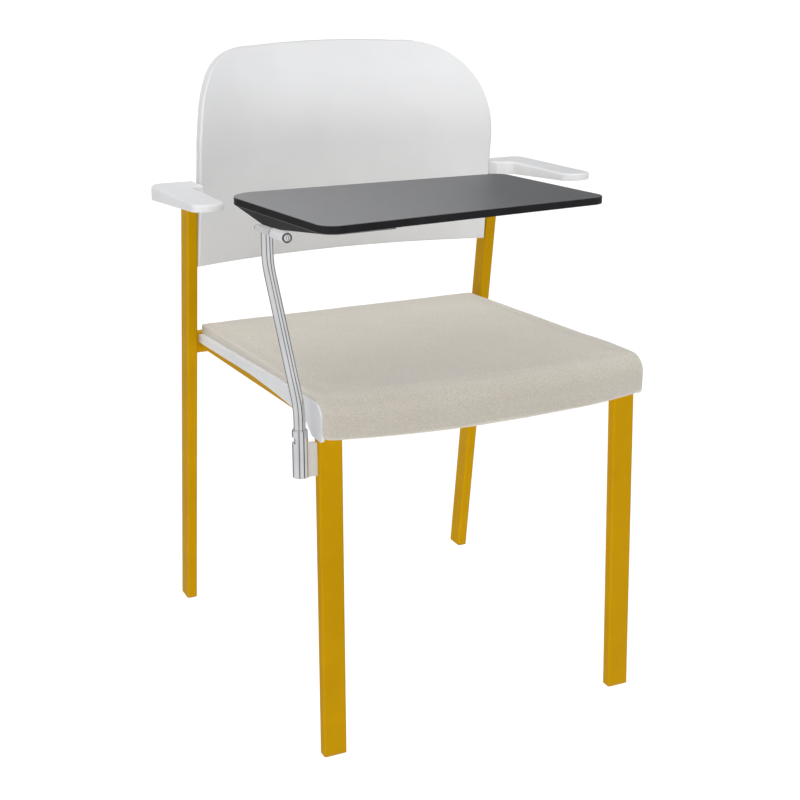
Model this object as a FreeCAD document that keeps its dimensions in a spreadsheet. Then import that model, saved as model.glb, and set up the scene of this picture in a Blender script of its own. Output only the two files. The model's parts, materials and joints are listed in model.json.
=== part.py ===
import FreeCAD, Part
import math
import os

import Sketcher

# Visitor armchair with a writing tablet on a swivelling post.
# Millimetres and degrees, +Z up, the sitter faces -Y. The origin is on the floor, in the
# middle of the whole chair's box. Depths below are counted from the middle of the four feet
# (positive towards the back), which lies origin_back behind the origin.

SIZES = {
    # stance
    "origin_back": 34.6,
    "foot_reach": 253.6,
    "front_foot_x": 204.9,
    "rear_foot_x": 229.6,
    "front_lean_back": 1.65,
    "front_lean_in": 0.64,
    "rear_lean": 8.18,
    "rear_leg_top": 636.0,
    # oval-cornered steel tube
    "tube_wide": 30.0,
    "tube_deep": 15.0,
    "tube_corner": 3.0,
    "tube_wall": 1.5,
    "leg_bend": 30.0,
    "rail_slope": 2.74,
    "rail_high": 421.6,
    "weld_gap": 0.1,
    # floor glides
    "glide_high": 3.0,
    "glide_plug": 12.0,
    "glide_edge": 1.0,
    # cross rails
    "front_cross_y": 175.0,
    "rear_cross_low": 397.0,
    "rear_cross_gap": 0.5,
    # seat shell
    "shell_half": 217.3,
    "shell_rear": 190.0,
    "shell_side": 3.6,
    "shell_floor": 4.0,
    "shell_rib": 3.0,
    "shell_edge": 2.0,
    "deck_high": 437.1,
    "deck_slope": 3.92,
    "skirt_rear": 11.0,
    "skirt_front": 21.5,
    "skirt_bend": 24.0,
    "nose_front": 301.4,
    "nose_bow": 892.0,
    "nose_wrap": 12.6,
    "nose_core": 17.6,
    "nose_drop": 40.6,
    "nose_lip": 1.0,
    "nose_run": 62.0,
    "cheek_rear": 165.0,
    "cheek_neck": 214.0,
    "cheek_heel": 232.0,
    "cheek_front": 262.8,
    "cheek_low": 410.3,
    "cheek_high": 423.5,
    "cheek_round": 19.0,
    "cheek_turn": 9.0,
    "rail_play": 0.5,
    # seat pad
    "pad_half": 213.0,
    "pad_side": 12.5,
    "pad_fall": 0.75,
    "pad_draw": 2.2,
    "pad_roll": 5.0,
    "pad_crown": 4.5,
    "pad_hair": 0.2,
    "pad_sink": 1.0,
    "pad_front": 222.0,
    "pad_flare": 3.8,
    "pad_flare_rear": 150.0,
    "nose_roll": 27.0,
    "nose_heel": 11.0,
    "nose_side": 7.0,
    # back panel
    "back_low": 526.0,
    "back_low_y": 198.5,
    "back_bow": 735.0,
    "back_thick": 17.3,
    "back_bend_high": 679.0,
    "back_bend": 117.0,
    "back_tip": 37.6,
    "back_half_low": 221.0,
    "back_half_high": 218.6,
    "back_top": 811.0,
    "back_crown": 3.0,
    "back_corner_wide": 112.0,
    "back_corner_high": 148.0,
    "back_edge": 2.5,
    # lugs that hold the back panel to the rear legs
    "lug_low": 560.0,
    "lug_high": 622.0,
    "lug_tall": 26.0,
    "lug_reach": 22.0,
    "lug_inset": 3.0,
    # armrests
    "arm_half": 281.0,
    "arm_inner": 238.0,
    "arm_hook": 222.6,
    "arm_front": 22.5,
    "arm_hook_front": 122.0,
    "arm_rear": 179.0,
    "arm_top": 647.6,
    "arm_rake": 1.66,
    "arm_low": 636.5,
    "arm_low_slope": 4.89,
    "arm_front_round": 15.0,
    "arm_rear_round": 8.0,
    "arm_edge": 2.5,
    "socket_play": 0.3,
    # screws
    "screw_shank": 2.2,
    "screw_hole": 2.7,
    "screw_head": 4.5,
    "screw_head_high": 2.6,
    "seat_screw_rear": 130.0,
    "seat_screw_front": 120.0,
    "seat_screw_bite": 9.0,
    # sleeve on the left front leg
    "arm_turn": 4.70,
    "rim_high": 421.0,
    "bracket_wide": 11.05,
    "bracket_low": 365.0,
    "bracket_tall": 39.6,
    "sleeve_radius": 9.25,
    "sleeve_bore": 8.1,
    "sleeve_top": 2.0,
    "sleeve_long": 57.0,
    "sleeve_floor": 2.5,
    "sleeve_edge": 0.8,
    "bush_lip": 0.9,
    "slot_top": 6.0,
    "slot_high": 7.0,
    "slot_front": 214.0,
    "slot_sweep": 112.0,
    "stop_pin": 1.2,
    "stop_pin_reach": 8.7,
    "bracket_screw_low": 11.0,
    "bracket_screw_high": 32.0,
    # post
    "post_radius": 7.0,
    "post_play": 0.05,
    "post_bend": 65.0,
    "post_slant": 25.7,
    "post_back": 75.0,
    "post_first": 12.0,
    "post_top": 218.6,
    # tablet
    "tablet_top": 252.7,
    "tablet_thick": 9.0,
    "tablet_wide": 381.0,
    "tablet_left": 264.9,
    "tablet_right": 226.3,
    "tablet_out": 16.0,
    "tablet_behind": 86.0,
    "tablet_corner": 20.0,
    "tablet_edge": 1.2,
    # tapered block under the tablet
    "block_deep": 18.0,
    "block_inset": 2.0,
    "block_slope_in": 14.0,
    "block_top_wide": 84.0,
    "block_low_wide": 56.0,
    "block_low_rear": 72.0,
    "block_low_front": 116.0,
    "block_joint": 0.8,
    # hinge
    "hinge_in": 12.5,
    "hinge_down": 30.9,
    "pin_radius": 2.0,
    "carrier_rear": 68.0,
    "carrier_front": 110.2,
    "carrier_right": 20.0,
    "carrier_gap": 0.3,
    "knuckle_radius": 5.8,
    "knuckle_rear": 112.3,
    "knuckle_front": 146.0,
    "washer_thick": 1.5,
    "pin_play": 0.05,
    "pin_head": 4.6,
    "pin_head_high": 3.0,
    "clip_radius": 3.4,
    "clip_thick": 1.0,
    # overrun of every cutting tool
    "overrun": 5.0,
}

DOC = FreeCAD.newDocument("TabletArmchair")
SHEET = DOC.addObject("Spreadsheet::Sheet", "Sizes")
V = FreeCAD.Vector
X_AXIS, Y_AXIS, Z_AXIS = V(1, 0, 0), V(0, 1, 0), V(0, 0, 1)


class Size(object):
    """A number of the sheet, or a sum or share of such numbers, with its expression."""

    def __init__(self, value, text):
        self.value, self.text = float(value), text

    @staticmethod
    def of(other):
        return other if isinstance(other, Size) else Size(other, repr(float(other)))

    def __float__(self):
        return self.value

    def __neg__(self):
        return Size(-self.value, "(-1 * %s)" % self.text)

    def __add__(self, other):
        other = Size.of(other)
        return Size(self.value + other.value, "(%s + %s)" % (self.text, other.text))

    def __radd__(self, other):
        return Size.of(other) + self

    def __sub__(self, other):
        return self + (-Size.of(other))

    def __rsub__(self, other):
        return Size.of(other) - self

    def __mul__(self, other):
        other = Size.of(other)
        return Size(self.value * other.value, "(%s * %s)" % (self.text, other.text))

    def __rmul__(self, other):
        return Size.of(other) * self

    def __truediv__(self, other):
        other = Size.of(other)
        return Size(self.value / other.value, "(%s / %s)" % (self.text, other.text))


def put(name, value):
    """Writes one named size into the sheet."""
    put.row += 1
    SHEET.set("A%d" % put.row, name)
    SHEET.set("B%d" % put.row, repr(float(value)))
    SHEET.setAlias("B%d" % put.row, name)


put.row = 0
for NAME, VALUE in SIZES.items():
    put(NAME, VALUE)
DOC.recompute()


class Sheet(object):
    """Reads the sheet: sheet.tube_wide is a Size."""

    def __getattr__(self, name):
        return Size(SHEET.get(name), "Sizes." + name)


S = Sheet()


def tan(size):
    return Size(math.tan(math.radians(float(size))), "tan(%s)" % Size.of(size).text)


def sin(size):
    return Size(math.sin(math.radians(float(size))), "sin(%s)" % Size.of(size).text)


def cos(size):
    return Size(math.cos(math.radians(float(size))), "cos(%s)" % Size.of(size).text)


def vec(x, y, z):
    return V(float(x), float(y), float(z))


def turn(axis, degrees):
    return FreeCAD.Rotation(axis, float(degrees))


def bind(obj, prop, size):
    """Ties a property to the sheet."""
    size = Size.of(size)
    obj.setExpression(prop, size.text)


SHIFT = FreeCAD.Placement(vec(0, S.origin_back, 0), FreeCAD.Rotation())
NODES = []


def node(obj, label=None):
    """Marks an object as a sub-part that is written out."""
    if label:
        obj.Label = label
    NODES.append(obj)
    return obj


def place(obj, placement=None):
    """Puts a sub-part in the chair's frame."""
    obj.Placement = SHIFT.multiply(placement) if placement else SHIFT
    if not placement:
        bind(obj, "Placement.Base.y", S.origin_back)
    return obj


# Sketches and features


def new_body(label):
    body = DOC.addObject("PartDesign::Body", label)
    body.Label = label
    return body


def sketch(body, plane, lift=None):
    """A sketch on one of the body's own origin planes, lifted along its normal."""
    sk = body.newObject("Sketcher::SketchObject", body.Label + "_sketch")
    face = [f for f in body.Origin.OriginFeatures if f.Role == plane + "_Plane"][0]
    sk.AttachmentSupport = (face, [""])
    sk.MapMode = "FlatFace"
    if lift is not None:
        sk.AttachmentOffset = FreeCAD.Placement(vec(0, 0, lift), FreeCAD.Rotation())
        bind(sk, "AttachmentOffset.Base.z", lift)
    return sk


def pin_down(sk, geo, end, x, y):
    """Holds a point of the sketch at two sizes from its origin."""
    for kind, size in (("DistanceX", Size.of(x)), ("DistanceY", Size.of(y))):
        held = Sketcher.Constraint(kind, -1, 1, geo, end, size.value)
        index = sk.addConstraint(held)
        if "Sizes." in size.text:
            sk.setExpression("Constraints[%d]" % index, size.text)


def outline(sk, corners):
    """A closed outline of straight lines through corners given as sizes."""
    first = sk.GeometryCount
    ends = [vec(x, y, 0) for x, y in corners]
    count = len(ends)
    for i in range(count):
        sk.addGeometry(Part.LineSegment(ends[i], ends[(i + 1) % count]), False)
    for i in range(count):
        after = first + (i + 1) % count
        sk.addConstraint(Sketcher.Constraint("Coincident", first + i, 2, after, 1))
    for i in range(count):
        pin_down(sk, first + i, 1, *corners[i])


def rounded(sk, corners):
    """A closed outline with rounded corners: each is a place given by two sizes and a radius."""
    points = [vec(x, y, 0) for x, y, _ in corners]
    count = len(points)
    enter, leave, arcs = [], [], []
    for i, (point, radius) in enumerate(zip(points, [c[2] for c in corners])):
        before = (points[i - 1] - point).normalize()
        after = (points[(i + 1) % count] - point).normalize()
        if float(radius) == 0:
            enter.append((point, None))
            leave.append((point, None))
            arcs.append(None)
            continue
        half = before.getAngle(after) / 2
        run = float(radius) / math.tan(half)
        centre = point + (before + after).normalize() * (float(radius) / math.sin(half))
        first, last = point + before * run, point + after * run
        left = (point - points[i - 1]).cross(points[(i + 1) % count] - point).z > 0
        low, high = (first, last) if left else (last, first)
        start = math.atan2(low.y - centre.y, low.x - centre.x)
        stop = math.atan2(high.y - centre.y, high.x - centre.x)
        stop = stop + 2 * math.pi if stop < start else stop
        circle = Part.Circle(centre, Z_AXIS, float(radius))
        geo = sk.addGeometry(Part.ArcOfCircle(circle, start, stop), False)
        index = sk.addConstraint(Sketcher.Constraint("Radius", geo, float(radius)))
        sk.setExpression("Constraints[%d]" % index, Size.of(radius).text)
        enter.append((first, (geo, 1 if left else 2)))
        leave.append((last, (geo, 2 if left else 1)))
        arcs.append(geo)
    lines = []
    for i in range(count):
        j = (i + 1) % count
        line = Part.LineSegment(leave[i][0], enter[j][0])
        lines.append(sk.addGeometry(line, False))
        if leave[i][1]:
            sk.addConstraint(Sketcher.Constraint("Coincident", lines[i], 1, *leave[i][1]))
        if enter[j][1]:
            sk.addConstraint(Sketcher.Constraint("Coincident", lines[i], 2, *enter[j][1]))
    for i in range(count):
        if arcs[i] is None:
            sk.addConstraint(Sketcher.Constraint("Coincident", lines[i - 1], 2, lines[i], 1))
            pin_down(sk, lines[i], 1, corners[i][0], corners[i][1])


def rectangle(sk, x0, y0, x1, y1):
    outline(sk, [(x0, y0), (x1, y0), (x1, y1), (x0, y1)])


def disc(sk, x, y, radius):
    """A full circle."""
    geo = sk.addGeometry(Part.Circle(vec(x, y, 0), Z_AXIS, float(radius)), False)
    pin_down(sk, geo, 3, x, y)
    index = sk.addConstraint(Sketcher.Constraint("Radius", geo, float(radius)))
    sk.setExpression("Constraints[%d]" % index, Size.of(radius).text)


def ring(sk, outer, inner):
    disc(sk, 0, 0, outer)
    disc(sk, 0, 0, inner)


def tube_rings(sk, wide, deep, wall):
    """The outer and inner outline of the rectangular tube, centred."""
    rectangle(sk, -wide / 2, -deep / 2, wide / 2, deep / 2)
    rectangle(sk, wall - wide / 2, wall - deep / 2, wide / 2 - wall, deep / 2 - wall)


def pad(body, sk, length, middle=False, back=False, along=None):
    """Extrudes a sketch: one way, both ways alike, backwards, or along a slanted way."""
    feature = body.newObject("PartDesign::Pad", body.Label + "_pad")
    feature.Profile = sk
    feature.Length = float(length)
    bind(feature, "Length", length)
    feature.SideType = "Symmetric" if middle else "One side"
    feature.Reversed = back
    if along is not None:
        feature.UseCustomVector = True
        feature.Direction = along
        feature.AlongSketchNormal = True
    DOC.recompute()
    return feature


def pocket(body, sk, length=None, middle=False, back=False, along=None):
    """Cuts a sketch out of the body and checks that it took something away."""
    before = body.Shape.Volume
    feature = body.newObject("PartDesign::Pocket", body.Label + "_pocket")
    feature.Profile = sk
    if length is None:
        feature.Type = "ThroughAll"
    else:
        feature.Length = float(length)
        bind(feature, "Length", length)
    feature.SideType = "Symmetric" if middle else "One side"
    feature.Reversed = back
    if along is not None:
        feature.UseCustomVector = True
        feature.Direction = along
        feature.AlongSketchNormal = True
    DOC.recompute()
    if body.Shape.Volume >= before:
        raise RuntimeError("a pocket of %s cuts nothing" % body.Label)
    return feature


def soften(body, radius, chosen):
    """Rounds the edges of the body's tip that the test picks."""
    tip = body.Tip
    names = []
    for number, edge in enumerate(tip.Shape.Edges):
        if chosen(edge):
            names.append("Edge%d" % (number + 1))
    feature = body.newObject("PartDesign::Fillet", body.Label + "_fillet")
    feature.Base = (tip, names)
    feature.Radius = float(radius)
    bind(feature, "Radius", radius)
    DOC.recompute()
    return feature


def near(a, b):
    return abs(float(a) - float(b)) < 1e-4 * float(S.tube_wide)


def mid(edge):
    return edge.valueAt((edge.FirstParameter + edge.LastParameter) / 2)


def ends(edge):
    return [vertex.Point for vertex in edge.Vertexes]


def upright(edge):
    """True for a straight edge along Z."""
    points = ends(edge)
    return len(points) > 1 and near(points[0].x, points[1].x) and near(points[0].y, points[1].y)


def shape_node(label, shape, placement=None):
    """A sub-part whose solid is made by functions from the sheet's sizes."""
    obj = DOC.addObject("Part::Feature", label)
    obj.Label = label
    obj.Shape = shape
    place(obj, placement)
    return node(obj)


def box(x0, y0, z0, x1, y1, z1):
    low = vec(min(float(x0), float(x1)), min(float(y0), float(y1)), min(float(z0), float(z1)))
    high = vec(max(float(x0), float(x1)), max(float(y0), float(y1)), max(float(z0), float(z1)))
    size = high - low
    return Part.makeBox(size.x, size.y, size.z, low)


def rod(radius, length, base, direction):
    return Part.makeCylinder(float(radius), float(length), base, direction)


def mirrored(source, label):
    """The same piece on the other side of the chair."""
    obj = DOC.addObject("Part::Mirroring", label)
    obj.Source = source
    obj.Base = V(0, 0, 0)
    obj.Normal = X_AXIS
    return node(obj, label)


# Places that follow from the stance


def leg_frame(side):
    """The front leg's own frame: its foot end on the floor glide, leaning in and back."""
    lean = turn(Y_AXIS, -side * S.front_lean_in.value)
    lean = lean.multiply(turn(X_AXIS, -S.front_lean_back))
    x = S.front_foot_x - S.glide_high * tan(S.front_lean_in)
    y = S.glide_high * tan(S.front_lean_back) - S.foot_reach
    return FreeCAD.Placement(vec(side * x.value, y, S.glide_high), lean)


def rear_leg_y(z):
    """Middle of the rear leg at a height."""
    return S.foot_reach - tan(S.rear_lean) * z


RISE = S.rail_high + tan(S.rail_slope) * S.foot_reach
MEET = RISE / (1 + tan(S.rail_slope) * tan(S.front_lean_back))
LEG_TURN = 90 + S.rail_slope - S.front_lean_back
LEG_STRAIGHT = (MEET - S.glide_high) / cos(S.front_lean_back) - S.leg_bend * tan(LEG_TURN / 2)
RAIL_X = S.front_foot_x - MEET * tan(S.front_lean_in)
RAIL_START = -S.foot_reach + tan(S.front_lean_back) * MEET + (
    S.leg_bend * tan(LEG_TURN / 2) * cos(S.rail_slope)
)
CROSS_FRONT = S.shell_rear + S.rear_cross_gap
RAIL_LONG = (CROSS_FRONT - RAIL_START) / cos(S.rail_slope) - S.tube_deep / 2 * tan(S.rail_slope)


def rail_mid(y):
    """Height of the side rail's centre line at a depth."""
    return S.rail_high - tan(S.rail_slope) * y


def deck(y):
    """Height of the shell's deck, which carries the pad, at a depth."""
    return S.deck_high - tan(S.deck_slope) * y


# Front legs and side rails: one tube each, bent under the nose of the seat

BLOCK_FOOT = S.bracket_low - S.glide_high
LEG_SCREWS = [BLOCK_FOOT + S.bracket_screw_low, BLOCK_FOOT + S.bracket_screw_high]
RAIL_SCREWS = [(-S.seat_screw_front - RAIL_START), (S.seat_screw_rear - RAIL_START)]

for SIDE, WORD in ((-1, "left"), (1, "right")):
    BODY = new_body("front_leg_" + WORD)
    SECTION = sketch(BODY, "XY")
    tube_rings(SECTION, S.tube_wide, S.tube_deep, S.tube_wall)
    PATH = sketch(BODY, "YZ")
    TOP = vec(0, LEG_STRAIGHT, 0)
    PATH.addGeometry(Part.LineSegment(V(0, 0, 0), TOP), False)
    HEART = TOP + vec(S.leg_bend, 0, 0)
    RADIUS = float(S.leg_bend)
    FIRST = math.pi - math.radians(float(LEG_TURN))
    ARC = Part.ArcOfCircle(Part.Circle(HEART, Z_AXIS, RADIUS), FIRST, math.pi)
    PATH.addGeometry(ARC, False)
    PATH.addConstraint(Sketcher.Constraint("Coincident", 0, 2, 1, 2))
    pin_down(PATH, 0, 1, 0, 0)
    pin_down(PATH, 0, 2, 0, LEG_STRAIGHT)
    pin_down(PATH, 1, 3, S.leg_bend, LEG_STRAIGHT)
    PIPE = BODY.newObject("PartDesign::AdditivePipe", BODY.Label + "_pipe")
    PIPE.Profile = SECTION
    PIPE.Spine = (PATH, ["Edge1", "Edge2"])
    DOC.recompute()
    soften(
        BODY,
        S.tube_corner,
        lambda e: near(abs(mid(e).x), S.tube_wide / 2)
        and e.Length > float(S.tube_deep) + float(S.tube_wall),
    )
    if SIDE < 0:
        # holes for the two screws that hold the sleeve's bracket
        HOLES = sketch(BODY, "YZ")
        for HIGH in LEG_SCREWS:
            disc(HOLES, 0, HIGH, S.screw_hole)
        pocket(BODY, HOLES, S.tube_wide + S.overrun, middle=True)
    place(node(BODY), leg_frame(SIDE))

    BEND_END = vec(
        0,
        S.leg_bend * (1 - cos(LEG_TURN)),
        LEG_STRAIGHT + S.leg_bend * sin(LEG_TURN),
    )
    BEND_FRAME = FreeCAD.Placement(BEND_END, turn(X_AXIS, -LEG_TURN))
    BODY = new_body("side_rail_" + WORD)
    SECTION = sketch(BODY, "XY")
    tube_rings(SECTION, S.tube_wide, S.tube_deep, S.tube_wall)
    pad(BODY, SECTION, RAIL_LONG)
    soften(
        BODY,
        S.tube_corner,
        lambda e: upright(e) and near(abs(mid(e).x), S.tube_wide / 2),
    )
    HOLES = sketch(BODY, "XZ")
    for ALONG in RAIL_SCREWS:
        disc(HOLES, 0, ALONG, S.screw_hole)
    pocket(BODY, HOLES, S.tube_wide + S.overrun, middle=True)
    place(node(BODY), leg_frame(SIDE).multiply(BEND_FRAME))
RAIL_FRAME = leg_frame(-1).multiply(BEND_FRAME)

# Rear legs: straight tubes that lean forward and end inside the armrests

LEAN = vec(0, -sin(S.rear_lean), cos(S.rear_lean))
for SIDE, WORD in ((-1, "left"), (1, "right")):
    BODY = new_body("rear_leg_" + WORD)
    SECTION = sketch(BODY, "XY")
    tube_rings(SECTION, S.tube_deep, S.tube_wide, S.tube_wall)
    pad(BODY, SECTION, S.rear_leg_top - S.glide_high, along=LEAN)
    soften(
        BODY,
        S.tube_corner,
        lambda e: near(abs(mid(e).x), S.tube_deep / 2) and e.Length > float(S.rear_leg_top) / 2,
    )
    FOOT = vec(SIDE * S.rear_foot_x.value, rear_leg_y(S.glide_high), S.glide_high)
    place(node(BODY), FreeCAD.Placement(FOOT, FreeCAD.Rotation()))

# Cross rails

BODY = new_body("rear_cross_rail")
SECTION = sketch(BODY, "YZ")
tube_rings(SECTION, S.tube_deep, S.tube_wide, S.tube_wall)
pad(BODY, SECTION, 2 * (S.rear_foot_x - S.tube_deep / 2 - S.weld_gap), middle=True)
soften(
    BODY,
    S.tube_corner,
    lambda e: near(abs(mid(e).y), S.tube_deep / 2) and e.Length > float(S.rear_foot_x),
)
MIDDLE = vec(0, CROSS_FRONT + S.tube_deep / 2, S.rear_cross_low + S.tube_wide / 2)
place(node(BODY), FreeCAD.Placement(MIDDLE, FreeCAD.Rotation()))

BODY = new_body("front_cross_rail")
SECTION = sketch(BODY, "YZ")
tube_rings(SECTION, S.tube_wide, S.tube_deep, S.tube_wall)
pad(BODY, SECTION, 2 * (RAIL_X - S.tube_wide / 2 - S.weld_gap * 2), middle=True)
soften(
    BODY,
    S.tube_corner,
    lambda e: near(abs(mid(e).y), S.tube_wide / 2) and e.Length > float(S.front_foot_x),
)
MIDDLE = vec(0, -S.front_cross_y, rail_mid(-S.front_cross_y))
place(node(BODY), FreeCAD.Placement(MIDDLE, turn(X_AXIS, -S.rail_slope)))

# Floor glides: a plate under the tube's end and a plug inside it


def glide(wide, deep, slide_x, slide_y, seat=None):
    """The plug leans with its tube, by the given shares of its height. The plate is cut back
    to the tube's end, from the seat's plane up, where that end isn't level."""
    plate = box(-wide / 2, -deep / 2, 0, wide / 2, deep / 2, S.glide_high)
    edges = [e for e in plate.Edges if upright(e)]
    plate = plate.makeFillet(float(S.tube_corner), edges)
    low = [e for e in plate.Edges if all(near(p.z, 0) for p in ends(e))]
    plate = plate.makeChamfer(float(S.glide_edge), low)
    gap = S.tube_wall + S.weld_gap
    sunk = -S.glide_high / 2
    plug = box(gap - wide / 2, gap - deep / 2, sunk, wide / 2 - gap, deep / 2 - gap, S.glide_plug)
    shear = FreeCAD.Matrix()
    shear.A13, shear.A23 = float(slide_x), float(slide_y)
    plug = plug.transformGeometry(shear)
    plug.translate(vec(0, 0, S.glide_high))
    if seat is None:
        return plate.fuse(plug)
    rise = box(-wide / 2, -deep / 2, S.glide_edge, wide / 2, deep / 2, S.glide_high * 1.5)
    rise = rise.makeFillet(float(S.tube_corner), [e for e in rise.Edges if upright(e)])
    above = box(-wide, -wide, 0, wide, wide, S.glide_plug)
    above.Placement = seat
    return plate.fuse(rise).cut(above).fuse(plug)


FRONT, REAR = [], []
for SIDE in (-1, 1):
    FOOT = leg_frame(SIDE).multiply(FreeCAD.Placement(vec(0, 0, -S.glide_high), FreeCAD.Rotation()))
    FLAT = FreeCAD.Placement(vec(FOOT.Base.x, FOOT.Base.y, 0), FreeCAD.Rotation())
    SHAPE = glide(
        S.tube_wide,
        S.tube_deep,
        -SIDE * tan(S.front_lean_in).value,
        tan(S.front_lean_back),
        FLAT.inverse().multiply(leg_frame(SIDE)),
    )
    SHAPE.Placement = FLAT
    FRONT.append(SHAPE)
    SHAPE = glide(S.tube_deep, S.tube_wide, 0, -tan(S.rear_lean))
    SHAPE.Placement = FreeCAD.Placement(
        vec(SIDE * S.rear_foot_x.value, rear_leg_y(S.glide_high), 0), FreeCAD.Rotation()
    )
    REAR.append(SHAPE)
shape_node("front_glides", Part.makeCompound(FRONT))
shape_node("rear_glides", Part.makeCompound(REAR))

# Seat shell: a moulded tray on the rails, with a rolled nose, cheeks over the leg bends,
# channels for the tubes and a grid of ribs underneath

DECK_UP = vec(0, sin(S.deck_slope), cos(S.deck_slope))
DECK_FRONT = vec(0, -cos(S.deck_slope), sin(S.deck_slope))


def nose_point(back, up):
    """Depth and height, on the middle plane, of a point counted from the cushion's foremost
    line: back along the deck, up square to it."""
    y = cos(S.deck_slope) * back + sin(S.deck_slope) * up - S.nose_front
    z = deck(-S.nose_front) - sin(S.deck_slope) * back + cos(S.deck_slope) * up
    return y, z


def skirt(y, share):
    """Height of the shell's lower edge at its sides."""
    return deck(y) - S.skirt_rear - (S.skirt_front - S.skirt_rear) * share


BODY = new_body("seat_shell")
CORE = sketch(BODY, "YZ")
JOIN = -S.pad_front
outline(
    CORE,
    [
        (S.shell_rear, skirt(S.shell_rear, 0)),
        (S.shell_rear, deck(S.shell_rear)),
        (JOIN, deck(JOIN)),
        (JOIN, skirt(JOIN, 1)),
        (-S.cheek_rear, skirt(-S.cheek_rear, 1)),
        (-S.cheek_rear * 0.6, skirt(-S.cheek_rear * 0.6, 0.52)),
        (-S.skirt_bend, skirt(-S.skirt_bend, 0.15)),
    ],
)
pad(BODY, CORE, 2 * S.shell_half, middle=True)

# the nose is bowed: its section turns about an axis square to the deck, far behind it
NOSE = sketch(BODY, "YZ")
BACK = S.nose_wrap + S.nose_run
LIP = S.nose_drop - S.nose_lip
rounded(
    NOSE,
    [
        (*nose_point(BACK, 0), 0),
        (*nose_point(S.nose_wrap, 0), S.nose_core),
        (*nose_point(S.nose_wrap, -LIP), 0),
        (*nose_point(S.nose_wrap + S.nose_core * 1.4, -LIP), 0),
        (*nose_point(BACK, -S.skirt_front), 0),
    ],
)
AXIS_FOOT, AXIS_HEAD = nose_point(S.nose_bow, 0), nose_point(S.nose_bow, S.nose_bow)
LINE = NOSE.addGeometry(
    Part.LineSegment(vec(*AXIS_FOOT, 0), vec(*AXIS_HEAD, 0)), True
)
pin_down(NOSE, LINE, 1, *AXIS_FOOT)
pin_down(NOSE, LINE, 2, *AXIS_HEAD)
NOSE_TURN = Size(
    math.degrees(math.asin(S.shell_half.value / (S.nose_bow.value - BACK.value))),
    "asin(%s)" % (S.shell_half / (S.nose_bow - BACK)).text,
) * 2.2
TURNED = BODY.newObject("PartDesign::Revolution", "seat_shell_nose")
TURNED.Profile = NOSE
TURNED.ReferenceAxis = (NOSE, ["Axis0"])
TURNED.Angle = float(NOSE_TURN)
bind(TURNED, "Angle", NOSE_TURN)
TURNED.Midplane = True
DOC.recompute()

# its ends are cut back: behind the cheeks' plates, and under the cushion's corners
TRIMS = [(S.shell_half, -S.cheek_rear), (S.shell_half - S.shell_side, JOIN)]
for HALF, REAR in TRIMS:
    for WAY in (False, True):
        ENDS = sketch(BODY, "YZ", HALF * (1 if WAY else -1))
        LOW, HIGH = S.cheek_low - S.overrun, deck(-S.nose_front) + S.overrun
        rectangle(ENDS, -S.nose_front - S.overrun, LOW, REAR, HIGH)
        pocket(BODY, ENDS, S.shell_half, back=WAY)
for LIFT in (-S.shell_half, S.shell_half - S.shell_side):
    CHEEK = sketch(BODY, "YZ", LIFT)
    rounded(
        CHEEK,
        [
            (-S.cheek_rear, skirt(-S.cheek_rear, 1), 0),
            (-S.cheek_rear, deck(-S.cheek_rear), 0),
            (-S.cheek_front, deck(-S.cheek_front), S.cheek_round),
            (-S.cheek_front, S.cheek_low, S.cheek_turn * 0.6),
            (-S.cheek_heel, S.cheek_low, S.cheek_turn),
            (-S.cheek_neck, S.cheek_high, S.cheek_turn),
        ],
    )
    pad(BODY, CHEEK, S.shell_side)
BELOW = S.cheek_low - S.overrun

# channels for the two bent tubes, one right through the nose's underside
CHANNEL = sketch(BODY, "YZ")
PLAY = S.rail_play
RAIL_TOP = S.tube_deep / 2 / cos(S.rail_slope) + PLAY
LEG_FRONT = tan(S.front_lean_back) * MEET - S.foot_reach - S.tube_deep / 2 - PLAY
outline(
    CHANNEL,
    [
        (S.shell_rear + S.overrun, rail_mid(S.shell_rear + S.overrun) + RAIL_TOP),
        (LEG_FRONT + S.leg_bend * 0.45, rail_mid(LEG_FRONT + S.leg_bend * 0.45) + RAIL_TOP),
        (LEG_FRONT - PLAY, rail_mid(LEG_FRONT) + RAIL_TOP - S.leg_bend * 0.45),
        (LEG_FRONT - PLAY, BELOW),
        (S.shell_rear + S.overrun, BELOW),
    ],
)
pocket(BODY, CHANNEL, 2 * (RAIL_X + S.tube_wide / 2 + PLAY), middle=True)

# the middle of the tray goes back between the tubes, over the front cross rail
HEART = sketch(BODY, "YZ")
CROSS_Z = rail_mid(-S.front_cross_y) + S.tube_deep / 2 + S.tube_wide / 2 * tan(S.rail_slope) + PLAY
outline(
    HEART,
    [
        (S.shell_rear, rail_mid(S.shell_rear)),
        (S.shell_rear, deck(S.shell_rear) - S.shell_edge),
        (LEG_FRONT, deck(LEG_FRONT) - S.shell_edge),
        (LEG_FRONT - PLAY * 3, deck(LEG_FRONT) - S.nose_core),
        (LEG_FRONT - PLAY * 3, S.cheek_low + S.shell_edge * 2),
        (-S.cheek_heel, S.cheek_low + S.shell_edge * 2),
        (-S.cheek_neck, rail_mid(-S.cheek_neck)),
        (-S.front_cross_y - S.tube_wide / 2 - PLAY * 2, rail_mid(-S.cheek_neck)),
        (-S.front_cross_y - S.tube_wide / 2 - PLAY * 2, CROSS_Z),
        (-S.front_cross_y + S.tube_wide / 2 + PLAY * 2, CROSS_Z),
        (-S.front_cross_y + S.tube_wide / 2 + PLAY * 2, rail_mid(-S.front_cross_y)),
    ],
)
pad(BODY, HEART, 2 * (RAIL_X - S.tube_wide / 2 - PLAY), middle=True)

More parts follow.
